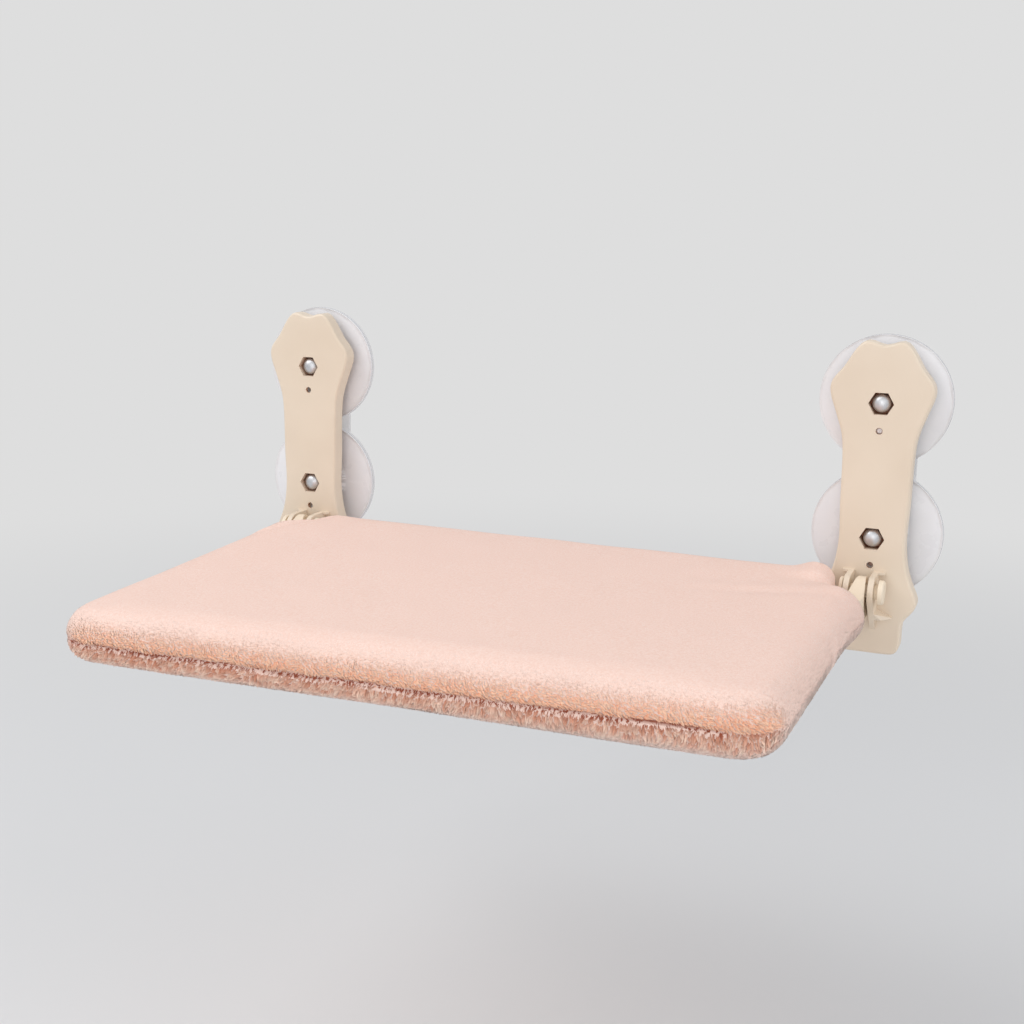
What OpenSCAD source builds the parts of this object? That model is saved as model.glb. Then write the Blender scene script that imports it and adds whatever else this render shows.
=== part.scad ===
// Folding window perch: a padded bed hinged on two brackets that suction cups hold to a window.
// X runs along the window, Y is 0 on the glass and negative into the room, and Z is up.
// Z is 0 midway between the upper and the lower cup of a bracket.

/* [Brackets] */
// Distance between the centres of the two brackets
bracket_gap = 475; // [440:5:520]
// Distance from the glass to the front face of a bracket plate
stand_off = 28; // [27:0.5:32]
// Greatest width of a bracket plate, across its lobes
plate_w = 76; // [72:1:84]
// Depth of the plate's side walls
plate_depth = 12.6; // [12:0.1:13.6]
// Thickness of the plate's walls
plate_wall = 2.6; // [2.2:0.1:3]
// Radius of the plate's front edge
plate_round = 2.2; // [1.4:0.1:2.2]

/* [Suction cups] */
// Diameter of the clear pad round one cup
pad_d = 98.8; // [90:0.2:104]
// Gap between the two cups of a bracket
cup_gap = 1.2; // [1:0.1:8]
// Thickness of the clear pad's web
pad_web = 3.5; // [3:0.1:4]
// Width of the clear neck that joins two cups
pad_neck_w = 52; // [40:1:60]
// Height of the lip that stands round the disc
pad_lip = 3; // [2:0.1:3.4]
// Thickness of the lip
pad_lip_wall = 2.2; // [1.6:0.1:2.6]
// Thickness of the white disc
disc_t = 2.5; // [2:0.1:3]
// Diameter of the locating peg at its tip
peg_d = 3.4; // [3:0.1:3.8]
// Distance from the cup's centre down to the locating peg
peg_drop = 19.8; // [19:0.1:21]

/* [Cup fasteners] */
// Diameter of the stud
stud_d = 8; // [7:0.1:8.4]
// Width across the flats of the cap nut
nut_flats = 13; // [12:0.1:14]
// Height of the cap nut
nut_h = 12; // [11:0.1:12.4]
// Width across the flats of the pocket round the nut
pocket_flats = 16; // [15.4:0.1:17]

/* [Hinge] */
// Distance from the lower cup's centre down to the hinge axis
hinge_drop = 35; // [34:0.5:38]
// Distance of the ears' middle inward of the cups' centres
hinge_in = 3.6; // [0:0.1:4]
// Gap between the two ears
ear_gap = 13.7; // [12:0.1:14]
// Thickness of an ear
ear_t = 4; // [3.4:0.1:4.2]
// Radius of an ear round the pin
ear_r = 11; // [10.6:0.1:12]
// Diameter of the hinge pin
pin_d = 6; // [5:0.1:7]
// Diameter of the pin's head and of its cap
pin_head_d = 17.8; // [15:0.1:18]
// Radius of the arm's rounded end
arm_r = 10.6; // [9.6:0.1:11]
// Thickness of the arm's rounded end
tongue_t = 5.6; // [5:0.1:7]

/* [Bed] */
// How far the bed reaches past a bracket's centre at each side
bed_overhang = 5.7; // [5:0.1:6.4]
// Depth of the bed from its rear edge to its front edge
bed_depth = 328; // [270:2:400]
// Thickness of the bed at its edge
bed_thick = 41; // [40:0.5:44]
// Distance from the hinge axis down to the middle of the bed
bed_drop = 6.7; // [6:0.1:7.4]
// Gap between the bed and the plates, at rest and folded
bed_gap = 3.8; // [3.2:0.1:5]
// Radius of the bed's front corners in plan
corner_r = 36; // [30:1:44]
// Thickness of the plush cover
cover_t = 5; // [4.4:0.1:5.4]
// Height of the bed's crown over its edge
crown = 1.6; // [0.8:0.1:2]
// Depth of the seam groove round the edge
groove = 1.8; // [1:0.1:2]

/* [Bed frame] */
// Diameter of the frame's tube
tube_d = 16; // [14:0.5:17]
// Wall of the tube
tube_wall = 1.2; // [1:0.1:1.6]
// Radius of the tube's bends
tube_bend = 28; // [26:1:34]
// Thickness of the sling's cloth
sling_t = 1.4; // [1:0.1:1.6]

/* [Zip] */
// Length of the zip
zip_length = 340; // [260:2:344]
// Width of the zip's tape
zip_w = 24; // [20:0.5:26]
// Length of the pull
pull_length = 17; // [12:0.5:18]

/* [Hidden] */

// Overrun of every cut, and depth of every overlap between fused shapes
cut = 1;
// Gap between faces that stay apart on neighbouring pieces
gap = 0.3;
// Radial clearance of a shaft in its bore
fit = 0.05;
// Radial clearance of a piece that is moulded in or clamped
snug = 0.1;

upper = 1;
lower = -1;
right = 1;
left = -1;
cup_pitch = pad_d + cup_gap;
cup_z = cup_pitch / 2;
plate_front = -stand_off;
plate_back = plate_front + plate_depth;
wall_back = plate_front + plate_wall;

// Half outline of a plate from the middle of its top to the middle of its foot:
// width as a share of half the plate's width, height as a share of the cup pitch
plate_shares = [[0, 0.92], [0.33, 0.95], [0.53, 0.89], [0.735, 0.76], [0.945, 0.655], [0.97, 0.56],
    [0.85, 0.425], [0.71, 0.26], [0.665, 0.08], [0.655, -0.25], [0.63, -0.5], [0.69, -0.7],
    [0.795, -0.825], [0.92, -0.94], [0.88, -1.017], [0.7, -1.108], [0.665, -1.2], [0.66, -1.3],
    [0.57, -1.36], [0.38, -1.372], [0, -1.372]];
outline_steps = 3;
round_steps = 3;

// Nut pocket and its boss
boss_depth = 1.25 * nut_h;
boss_back = plate_front + boss_depth;
pocket_floor = plate_front + 1.05 * nut_h;
pocket_r = pocket_flats / 2 / cos(30);
boss_r = pocket_r + plate_wall;
stud_bore_r = stud_d / 2 + 2 * snug;
peg_hole_r = peg_d / 2 + 8 * snug;
rib_t = 2;
rib_back = plate_front + 0.72 * plate_depth;
rib_x = boss_r - rib_t;

// Suction cup, measured from the glass
pad_r = pad_d / 2;
pad_chamfer = pad_web / 5;
cup_r = 0.89 * pad_r;
cup_hollow = 0.4 * pad_web;
disc_r = pad_r - pad_lip_wall - gap;
disc_back = pad_web + gap;
disc_front = disc_back + disc_t;
disc_rim_w = 2.2;
disc_rim_h = 0.8;
hub_top = -boss_back;
hub_r = boss_r + rib_t;
hub_foot_r = 1.8 * hub_r;
head_r = 1.25 * stud_d;
head_t = 2.4;
head_back = pad_web + snug;
pad_boss_w = 7;
pad_boss_t = 2;
pad_boss_r = head_r + pad_boss_w;
pad_boss_top = head_back + head_t + pad_boss_t;
stud_end = stand_off - 0.28 * nut_h;
peg_foot_r = 1.3 * peg_d / 2;
peg_top = stand_off - plate_wall / 2;

// Hinge
plate_seat = plate_front + plate_wall / 2;
hinge_out = bed_thick / 2 - bed_drop + bed_gap;
hinge_y = plate_front - hinge_out;
hinge_z = -cup_z - hinge_drop;
ear_in = ear_gap / 2;
ear_out = ear_in + ear_t;
ear_lean = 45;
ledge_w = 4.5;
ledge_t = 1.8;
ledge_reach = 3.6;
gusset_w = 11.4;
gusset_t = 5.9;
gusset_tip = 0.9;
gusset_drop = 23.4;
gusset_z = hinge_z - gusset_drop;
gusset_reach = 15.7;
pin_neck = 2.9;
cap_neck = 0.8;
cap_head_t = 2.8;
ear_foot_z = hinge_z - ear_r / cos(ear_lean) - (plate_seat - hinge_y) * tan(ear_lean);
pin_neck_r = 0.65 * pin_head_d / 2;
pin_head_t = 4;
pin_round = 0.9;

// Bed
edge_r = bed_thick / 2;
bed_z = hinge_z - bed_drop;
bed_half = bracket_gap / 2 + bed_overhang;
bed_rear = plate_front - bed_gap;
bed_front = bed_rear - bed_depth;
bed_middle = (bed_rear + bed_front) / 2;
notch_w = 27.2;
notch_depth = 42;
notch_x = bed_half - notch_w;
notch_y = bed_rear - notch_depth;
notch_r = 4;
side_corner_r = 1.073 * edge_r;
rear_corner_r = side_corner_r;
inner_r = edge_r - cover_t;

// Frame, all of it on the mid-height of the bed
tube_r = tube_d / 2;
rail_x = bed_half - edge_r;
front_rail_y = bed_front + edge_r;
rear_rail_y = bed_rear - edge_r;
socket_wall = 3;
socket_r = tube_r + socket_wall;
socket_set = 12.5;
socket_rear = notch_y - socket_set;
socket_length = 25;
socket_front = socket_rear - socket_length;
socket_gap = 4;
rear_leg_x = rail_x - 2 * socket_r - socket_gap;
tube_stop = 3;
rivet_r = 2.2;
rivet_head_r = 4.2;
rivet_head_t = 1.6;
rivet_y = socket_rear - socket_length / 2;
rivet_flat_depth = 0.8;
rivet_flat = bed_z - socket_r + rivet_flat_depth;
sleeve_r = tube_r + 2 * snug + sling_t;
sheet_rise = 0.4;
sheet_bottom = bed_z - sleeve_r + sheet_rise;
sheet_top = sheet_bottom + sling_t;
sleeve_set = 6;
side_sleeve_start = socket_front - sleeve_set;
side_sleeve_end = front_rail_y + tube_bend + sleeve_set;
front_sleeve_half = rail_x - tube_bend - sleeve_set;
rear_sleeve_half = rear_leg_x - tube_bend - sleeve_set;
channel_r = sleeve_r + gap;

// Arm: side profile and plan, in from its bracket's centre line
arm_half = ear_in - gap;
arm_set = 0.9;
tongue_half = tongue_t / 2;
tongue_mid = 1.4 - hinge_in;
arm_boss_r = 0.45 * arm_r;
arm_fall = 32;
web_h = 14;
web_top = bed_z + web_h / 2;
arm_rear = plate_front - gap;
heel_set = 10.5;
heel_h = 12.5;
neck_set = 4.5;
flare_set = 4;
heel_top = hinge_z - heel_set;
heel_bottom = heel_top - heel_h;
flare_start = hinge_y - ear_r - neck_set;
flare_end = socket_rear - flare_set;
rail_in = rail_x - bracket_gap / 2;
leg_in = rear_leg_x - bracket_gap / 2;

// Zip in the bed's underside
bed_bottom = bed_z - edge_r;
zip_set = 24;
zip_y = rear_rail_y - zip_set;
tape_t = 1.5;
chain_w = 5;
chain_t = 1.6;
stop_length = 3;
slider_length = 12;
slider_wall = 1.4;
slider_plate = 1.2;
slider_park = 30;
slider_x = zip_length / 2 - slider_park;
lug_half = 1;
lug_length = 5;
lug_drop = 3.4;
eye_r = 0.9;
eye_drop = 1.9;
pull_w = 6.4;
pull_t = 1.8;
chain_bottom = bed_bottom - chain_t;
slider_bottom = chain_bottom - gap - slider_plate;
eye_z = slider_bottom - eye_drop;

function wrap(list, i) = list[(i + len(list)) % len(list)];
function arc(centre, r, from, to, steps) =
    [for (i = [0:steps]) let (a = from + (to - from) * i / steps) centre + r * [cos(a), sin(a)]];
function between(p, q, count) = [for (i = [1:1:count]) p + (q - p) * i / (count + 1)];
function mirrored(half) = concat(half, [for (i = [len(half) - 2:-1:1]) [-half[i][0], half[i][1]]]);

// A smooth closed curve through the points p
function curve_at(a, b, c, d, t) =
    (2 * b + (c - a) * t + (2 * a - 5 * b + 4 * c - d) * t * t + (3 * b - a - 3 * c + d) * t * t * t) / 2;
function smooth(p, steps) = [for (i = [0:len(p) - 1], j = [0:steps - 1])
    curve_at(wrap(p, i - 1), p[i], wrap(p, i + 1), wrap(p, i + 2), j / steps)];

// The clockwise outline p moved in by d
function inset(p, d) = [for (i = [0:len(p) - 1])
    let (along = wrap(p, i + 1) - wrap(p, i - 1)) p[i] + d * [along[1], -along[0]] / norm(along)];

plate_outline = smooth(mirrored([for (s = plate_shares) [s[0] * plate_w / 2, s[1] * cup_pitch]]),
    outline_steps);

// Plan outline of the bed, counterclockwise, e outside the line that its rounded edge follows
function half_plan(e, fine) = concat(
    arc([bed_half - corner_r, bed_front + corner_r], corner_r - edge_r + e, -90, 0, 3 * fine),
    between([bed_half - edge_r + e, bed_front + corner_r], [bed_half - edge_r + e, notch_y - side_corner_r],
        2 * fine - 2),
    arc([bed_half - side_corner_r, notch_y - side_corner_r], side_corner_r - edge_r + e, 0, 90, 2 * fine),
    arc([notch_x + notch_r, notch_y + notch_r], notch_r + edge_r - e, 270, 180, fine + 1),
    arc([notch_x - rear_corner_r, bed_rear - rear_corner_r], rear_corner_r - edge_r + e, 0, 90, 2 * fine));
function plan(e, fine) = let (half = half_plan(e, fine), last = len(half) - 1) concat(half,
    between(half[last], [-half[last][0], half[last][1]], 2 * fine),
    [for (i = [last:-1:0]) [-half[i][0], half[i][1]]],
    between([-half[0][0], half[0][1]], half[0], 2 * fine));
function level(outline, z, share) = [for (p = outline) [p[0] * share, bed_middle + (p[1] - bed_middle) * share, z]];

// The bed's skin: a half round of radius r, drawn in at the seam, with a crown on top
function seam(a, depth) = depth * exp(-(a * a) / 60);
module skin(r, angles, fine, depth, rise) loft(concat(
    [level(plan(0, fine), bed_z - r, 0.6)],
    [for (a = angles) level(plan(r * cos(a) - seam(a, depth), fine), bed_z + r * sin(a), 1)],
    [for (share = [0.85, 0.5]) level(plan(0, fine), bed_z + r + rise * (1 - share * share), share)]),
    [0, bed_middle, bed_z - r], [0, bed_middle, bed_z + r + rise]);

// Triangles between neighbouring rings of n points, on to the ring that follows the last where it closes
function bands(n, rows, count) = [for (k = [0:rows - 1], i = [0:n - 1]) each let (
    a = (k % count) * n + i, b = ((k + 1) % count) * n + i,
    a2 = (k % count) * n + (i + 1) % n, b2 = ((k + 1) % count) * n + (i + 1) % n) [[a, b, b2], [a, b2, a2]]];

// A solid through rings of points, closed by a fan from a point at each end
module loft(rings, low, high) {
    n = len(rings[0]);
    count = len(rings);
    polyhedron(points = concat([for (ring = rings) each ring], [low, high]), faces = concat(
        bands(n, count - 1, count),
        [for (i = [0:n - 1]) [i, (i + 1) % n, count * n]],
        [for (i = [0:n - 1]) [(count - 1) * n + (i + 1) % n, (count - 1) * n + i, count * n + 1]]));
}

// A closed wall, whose section runs through the same place in every ring
module wall_loft(rings) polyhedron(points = [for (ring = rings) each ring],
    faces = bands(len(rings[0]), len(rings), len(rings)));

// Shapes along Y cover from near, at the glass, to far, in the room
module rod_y(r, near, far) translate([0, near, 0]) rotate([90, 0, 0]) cylinder(r = r, h = near - far);
module rod_x(r, from, to) translate([from, 0, 0]) rotate([0, 90, 0]) cylinder(r = r, h = to - from);
module slab_y(near, far) translate([0, near, 0]) rotate([90, 0, 0]) linear_extrude(near - far) children();
module slab_x(from, to) translate([from, 0, 0]) rotate([90, 0, 90]) linear_extrude(to - from) children();
module slab_z(from, to) translate([0, 0, from]) linear_extrude(to - from) children();
module box(low, high) translate(low) cube(high - low);
// A turned piece about Y, from points of radius and distance from the glass
module turned(points) rotate([90, 0, 0]) rotate_extrude($fn = 96) polygon(points);
// A turned piece about X, from points of radius and place along X
module turned_x(points) rotate([0, 90, 0]) rotate_extrude($fn = 64) polygon(points);

module on_side(side) mirror([side < 0 ? 1 : 0, 0, 0]) translate([bracket_gap / 2, 0, 0]) children();
module at_cup(level_sign) translate([0, 0, level_sign * cup_z]) children();
module at_hinge() translate([-hinge_in, hinge_y, hinge_z]) children();
module both_sides() for (s = [0, 1]) mirror([s, 0, 0]) children();

// Bracket plate: a moulded tray with nut pockets, and the ears of the hinge on its front
function plate_ring(d, y) = [for (p = inset(plate_outline, d)) [p[0], y, p[1]]];

module plate_shell() {
    wall_loft(concat([plate_ring(plate_wall, plate_back), plate_ring(plate_wall, plate_front)],
        [for (i = [round_steps:-1:0]) let (a = 90 * i / round_steps)
            plate_ring(plate_round * (1 - cos(a)), plate_front + plate_round * (1 - sin(a)))],
        [plate_ring(0, plate_back)]));
    slab_y(wall_back, plate_front) polygon(inset(plate_outline, (plate_round + plate_wall) / 2));
}

module plate_ribs() {
    for (x = [-rib_x, rib_x]) box([x - rib_t / 2, plate_seat, -cup_z], [x + rib_t / 2, rib_back, cup_z]);
    for (share = [-0.16, 0.16])
        box([-plate_w / 4, plate_seat, share * cup_pitch - rib_t / 2],
            [plate_w / 4, rib_back, share * cup_pitch + rib_t / 2]);
    for (s = [-1, 1]) translate([s * (ear_in + ear_t / 2) - hinge_in, 0, 0])
        box([-rib_t / 2, plate_seat, ear_foot_z], [rib_t / 2, rib_back, -cup_z]);
}

// An ear is round about the pin, level on top, and leans back to the plate below
module ear_profile() polygon(concat([[plate_seat, hinge_z + ear_r]],
    arc([hinge_y, hinge_z], ear_r, 90, 180 + ear_lean, 15), [[plate_seat, ear_foot_z]]));

module web_plan(width, reach) polygon([[ear_out - cut, plate_seat], [ear_out + width, plate_seat],
    [ear_out + width, plate_front - rib_t], [ear_out, plate_front - reach], [ear_out - cut, plate_front - reach]]);

// Web beside an ear, thick at the ear and thin at its tip on the plate
module gusset() intersection() {
    slab_z(gusset_z, gusset_z + gusset_t) web_plan(gusset_w, gusset_reach);
    slab_x(ear_out - cut, ear_out + gusset_w) ear_profile();
    slab_y(plate_seat, plate_front - gusset_reach - cut) polygon([[ear_out - cut, gusset_z],
        [ear_out + gusset_w, gusset_z], [ear_out + gusset_w, gusset_z + gusset_tip],
        [ear_out, gusset_z + gusset_t], [ear_out - cut, gusset_z + gusset_t]]);
}

module hinge_ears() translate([-hinge_in, 0, 0]) both_sides() {
    slab_x(ear_in, ear_out) ear_profile();
    slab_z(hinge_z + ear_r - ledge_t, hinge_z + ear_r) web_plan(ledge_w, ledge_reach);
    gusset();
}

module nut_pocket() {
    slab_y(pocket_floor, plate_front - cut) circle(r = pocket_r, $fn = 6);
    rod_y(stud_bore_r, boss_back + cut, pocket_floor - cut, $fn = 48);
    translate([0, 0, -peg_drop]) rod_y(peg_hole_r, plate_back + cut, plate_front - cut, $fn = 32);
}

module bracket_plate() {
    color([0.92, 0.85, 0.76]) difference() {
        union() {
            plate_shell();
            plate_ribs();
            for (s = [upper, lower]) at_cup(s) rod_y(boss_r, boss_back, plate_seat, $fn = 64);
            hinge_ears();
        }
        for (s = [upper, lower]) at_cup(s) nut_pocket();
        at_hinge() rod_x(pin_d / 2 + fit, -ear_out - cut, ear_out + cut, $fn = 48);
    }
}

// Clear pad: two shallow cups joined by a neck, with a lip that stands round each disc
module pad_lobe() turned([[0, cup_hollow], [cup_r, 0], [pad_r - pad_chamfer, 0], [pad_r, pad_chamfer],
    [pad_r, pad_web + pad_lip], [pad_r - pad_lip_wall, pad_web + pad_lip], [pad_r - pad_lip_wall, pad_web],
    [pad_boss_r, pad_web], [pad_boss_r, pad_boss_top], [stud_d / 2 + snug, pad_boss_top],
    [stud_d / 2 + snug, head_back + head_t], [head_r + snug, head_back + head_t], [head_r + snug, head_back],
    [0, head_back]]);

module suction_pad() color([0.9, 0.92, 0.93, 0.6]) {
    neck_half = cup_z - sqrt(pad_r * pad_r - pad_neck_w * pad_neck_w / 4) + cut;
    for (s = [upper, lower]) at_cup(s) pad_lobe();
    difference() {
        box([-pad_neck_w / 2, -pad_web, -neck_half], [pad_neck_w / 2, -pad_chamfer, neck_half]);
        for (s = [upper, lower]) at_cup(s) rod_y(pad_r - pad_lip_wall, cut, -pad_web - cut, $fn = 96);
    }
}

// White disc: it presses the pad to the glass, and its hub carries the plate
module suction_disc() color([0.96, 0.95, 0.97]) difference() {
    union() {
        turned([[stud_bore_r, disc_back], [disc_r, disc_back], [disc_r, disc_front + disc_rim_h],
            [disc_r - disc_rim_w, disc_front + disc_rim_h], [disc_r - disc_rim_w, disc_front],
            [hub_foot_r, disc_front], [hub_r, hub_top], [stud_bore_r, hub_top]]);
        translate([0, 0, -peg_drop]) turned([[0, hub_top - cut], [peg_foot_r, hub_top - cut],
            [peg_foot_r, -plate_back], [peg_d / 2, -wall_back], [peg_d / 2, peg_top - peg_d / 6],
            [peg_d / 3, peg_top], [0, peg_top]]);
        peg_foot();
    }
    rod_y(pad_boss_r + gap, cut - disc_back, -pad_boss_top - gap, $fn = 96);
}

// Foot of the locating peg, out to the disc beside the hub
module peg_foot() translate([0, 0, -peg_drop])
    turned([[0, disc_front - disc_t / 2], [2 * peg_foot_r, disc_front - disc_t / 2],
        [1.4 * peg_foot_r, hub_top - cut / 2], [0, hub_top - cut / 2]]);

module cup_stud() color([0.75, 0.76, 0.78]) turned([[0, head_back], [head_r, head_back],
    [head_r, head_back + head_t], [stud_d / 2, head_back + head_t], [stud_d / 2, stud_end - stud_d / 12],
    [stud_d / 2 - stud_d / 12, stud_end], [0, stud_end]]);

// Cap nut: a hexagon with a domed end, tapped blind
module cap_nut() {
    seat = -pocket_floor;
    dome_r = 0.48 * nut_flats;
    top = seat + 0.95 * nut_h;
    color([0.78, 0.79, 0.81]) difference() {
        union() {
            intersection() {
                slab_y(-seat, -seat - nut_h / 2) circle(r = nut_flats / 2 / cos(30), $fn = 6);
                turned([[0, seat], [nut_flats / 2, seat], [1.2 * nut_flats / 2, seat + nut_h / 12],
                    [1.2 * nut_flats / 2, seat + nut_h / 2.4], [nut_flats / 2, seat + nut_h / 2 + snug],
                    [0, seat + nut_h / 2 + snug]]);
            }
            translate([0, -top + dome_r, 0]) sphere(r = dome_r, $fn = 64);
        }
        rod_y(stud_d / 2 + fit, -seat + dome_r, -stud_end - fit, $fn = 48);
    }
}

// Hinge pin with a round head outboard, and the cap on its inboard end
function pin_head(r, from, neck, to) = [[r, from], [pin_neck_r, from], [pin_neck_r, from + neck],
    [pin_head_d / 2, from + neck], [pin_head_d / 2, to - pin_round], [pin_head_d / 2 - pin_round, to]];

module pivot_pin() {
    head_end = ear_out + pin_neck + pin_head_t;
    tip = -ear_out - cap_neck - cap_head_t / 2;
    color([0.9, 0.83, 0.74]) at_hinge() turned_x(concat([[0, tip], [pin_d / 2 - pin_round / 2, tip],
        [pin_d / 2, tip + pin_round / 2]], pin_head(pin_d / 2, ear_out, pin_neck, head_end), [[0, head_end]]));
}

module pin_cap() {
    end = ear_out + cap_neck + cap_head_t;
    floor_x = ear_out + cap_neck + cap_head_t / 2 + fit;
    color([0.9, 0.83, 0.74]) at_hinge() mirror([1, 0, 0])
        turned_x(concat(pin_head(pin_d / 2 + fit, ear_out, cap_neck, end), [[0, end], [0, floor_x],
            [pin_d / 2 + fit, floor_x]]));
}

// Where the arm's top, which falls away from its round end of radius r, comes down to the height z
function fall_y(r, z) = hinge_y - r * sin(arm_fall) - (hinge_z + r * cos(arm_fall) - z) / tan(arm_fall);

// Hinge arm: tongue, heel that stops on the plate, and sockets for the side rail and the rear tube
module arm_side(grow) polygon(concat(
    arc([hinge_y, hinge_z], arm_r + grow, 0, 90 + arm_fall, 12),
    [[fall_y(arm_r + grow, web_top + grow), web_top + grow], [flare_end, web_top + grow],
        [flare_end, bed_z - web_h / 2 - grow], [flare_start, heel_bottom - grow],
        [arm_rear + grow, heel_bottom - grow], [arm_rear + grow, heel_top]]));

module arm_plan(grow) polygon([[tongue_mid + tongue_half + grow, arm_rear + cut],
    [tongue_mid + tongue_half + grow, hinge_y], [arm_half - arm_set + grow - hinge_in, flare_start],
    [arm_half - arm_set + grow - hinge_in, notch_y], [rail_in + tube_r + grow, flare_end],
    [rail_in - tube_r - grow, flare_end], [arm_set - arm_half - grow - hinge_in, flare_start],
    [tongue_mid - tongue_half - grow, hinge_y], [tongue_mid - tongue_half - grow, arm_rear + cut]]);

module arm_tongue(grow) intersection() {
    slab_x(leg_in, ear_out) arm_side(grow);
    slab_z(heel_bottom - cut, hinge_z + arm_r + cut) arm_plan(grow);
}

module hinge_arm() {
    color([0.85, 0.78, 0.7]) difference() {
        union() {
            arm_tongue(0);
            at_hinge() rod_x(arm_boss_r, -arm_half, arm_half, $fn = 64);
            for (x = [rail_in, leg_in]) translate([x, 0, bed_z]) rod_y(socket_r, socket_rear, socket_front, $fn = 64);
            box([leg_in, socket_front + rivet_r, bed_z - web_h / 2], [rail_in, socket_rear - rivet_r, bed_z + web_h / 2]);
        }
        at_hinge() rod_x(pin_d / 2 + fit, -ear_out, ear_out, $fn = 48);
        translate([rail_in, 0, bed_z]) rod_y(tube_r + fit, socket_rear - tube_stop, socket_front - cut, $fn = 64);
        translate([leg_in, 0, bed_z]) rod_y(tube_r + fit, socket_rear + cut, socket_front + tube_stop, $fn = 64);
        for (x = [rail_in, leg_in]) {
            box([x - socket_r, rivet_y - socket_length / 4, bed_z - socket_r - cut],
                [x + socket_r, rivet_y + socket_length / 4, rivet_flat]);
            translate([x, rivet_y, rivet_flat - cut]) cylinder(r = rivet_r + fit, h = socket_r, $fn = 32);
        }
    }
}

// The frame's path: children() is a section whose x points out of the bed
module side_run(x, near, far) both_sides() translate([x, 0, bed_z]) slab_y(near, far) children();
module front_run(y, half) translate([half, y, bed_z]) rotate([0, 0, -90]) rotate([90, 0, 0])
    linear_extrude(2 * half) children();
module bend(x, y, turn) both_sides() translate([x, y, bed_z]) rotate([0, 0, turn])
    rotate_extrude(angle = 90, $fn = 96) translate([tube_bend, 0]) children();

module front_path() {
    side_run(rail_x, socket_rear - tube_stop - fit, front_rail_y + tube_bend) children();
    bend(rail_x - tube_bend, front_rail_y + tube_bend, -90) children();
    front_run(front_rail_y, rail_x - tube_bend) children();
}

module rear_path() {
    side_run(rear_leg_x, rear_rail_y - tube_bend, socket_front + tube_stop + fit) children();
    bend(rear_leg_x - tube_bend, rear_rail_y - tube_bend, 0) children();
    front_run(rear_rail_y, rear_leg_x - tube_bend) children();
}

module tube_section() difference() {
    circle(r = tube_r, $fn = 64);
    circle(r = tube_r - tube_wall, $fn = 64);
}

module rivet_holes(x) both_sides() translate([x, rivet_y, rivet_flat]) cylinder(r = rivet_r + fit, h = socket_r, $fn = 32);

module frame_tube() color([0.62, 0.64, 0.66]) difference() {
    front_path() tube_section();
    rivet_holes(rail_x);
}

module rear_tube() color([0.62, 0.64, 0.66]) difference() {
    rear_path() tube_section();
    rivet_holes(rear_leg_x);
}

module arm_rivets() color([0.75, 0.76, 0.78]) for (x = [rail_x, rear_leg_x]) both_sides()
    translate([x, rivet_y, rivet_flat]) rotate_extrude($fn = 32)
        polygon([[0, -rivet_head_t], [0.7 * rivet_head_r, -rivet_head_t], [rivet_head_r, -0.4 * rivet_head_t],
            [rivet_head_r, 0], [rivet_r, 0], [rivet_r, socket_wall + tube_wall], [0, socket_wall + tube_wall]]);

// Sling: a sheet under the cushion, sewn into sleeves round the four rails
module sling_sheet() union() {
    box([-rail_x, side_sleeve_end, sheet_bottom], [rail_x, side_sleeve_start, sheet_top]);
    box([-front_sleeve_half, front_rail_y, sheet_bottom], [front_sleeve_half, side_sleeve_end + cut, sheet_top]);
    box([-rear_sleeve_half, side_sleeve_start - cut, sheet_bottom], [rear_sleeve_half, rear_rail_y, sheet_top]);
}

module support_sling() color([0.8, 0.74, 0.66]) difference() {
    union() {
        sling_sheet();
        side_run(rail_x, side_sleeve_start, side_sleeve_end) circle(r = sleeve_r, $fn = 48);
        front_run(front_rail_y, front_sleeve_half) circle(r = sleeve_r, $fn = 48);
        front_run(rear_rail_y, rear_sleeve_half) circle(r = sleeve_r, $fn = 48);
    }
    side_run(rail_x, side_sleeve_start + cut, side_sleeve_end - cut) circle(r = sleeve_r - sling_t, $fn = 48);
    front_run(front_rail_y, front_sleeve_half + cut) circle(r = sleeve_r - sling_t, $fn = 48);
    front_run(rear_rail_y, rear_sleeve_half + cut) circle(r = sleeve_r - sling_t, $fn = 48);
}

// Space round the rails that the cushion leaves free, open below
module rail_channel() {
    circle(r = channel_r, $fn = 48);
    translate([-channel_r, -edge_r]) square([2 * channel_r, edge_r]);
}

module arm_space() on_side(right) {
    arm_tongue(2 * gap);
    box([leg_in - socket_r - gap, socket_front - gap, bed_z - edge_r],
        [rail_in + channel_r + edge_r, socket_rear + gap, bed_z + socket_r + gap]);
    box([rail_in - socket_r, socket_rear, bed_z - edge_r],
        [rail_in + channel_r + edge_r, notch_y + cut, bed_z + edge_r]);
}

module foam_pad() color([0.97, 0.93, 0.8]) difference() {
    skin(inner_r - gap, [-60:30:90], 1, 0, crown);
    box([-bed_half, bed_front, bed_z - edge_r], [bed_half, bed_rear, sheet_top]);
    front_path() rail_channel();
    rear_path() rail_channel();
    both_sides() arm_space();
}

// Plush cover: a bag with a rounded edge, drawn in at its seam and notched at the two hinges
module plush_cover() color([0.95, 0.8, 0.74]) difference() {
    skin(edge_r, [-90, -70, -50, -32, -18, -9, 0, 9, 18, 32, 50, 70, 90], 2, groove, crown);
    skin(inner_r, [-90:30:90], 1, 0, crown);
    both_sides() on_side(right) arm_tongue(2 * gap);
    box([-zip_length / 2 - stop_length, zip_y - zip_w / 2, bed_bottom - cut],
        [zip_length / 2 + stop_length, zip_y + zip_w / 2, bed_bottom + tape_t]);
    box([-zip_length / 2, zip_y - chain_w / 2, bed_bottom], [zip_length / 2, zip_y + chain_w / 2, bed_bottom + edge_r / 2]);
}

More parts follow.
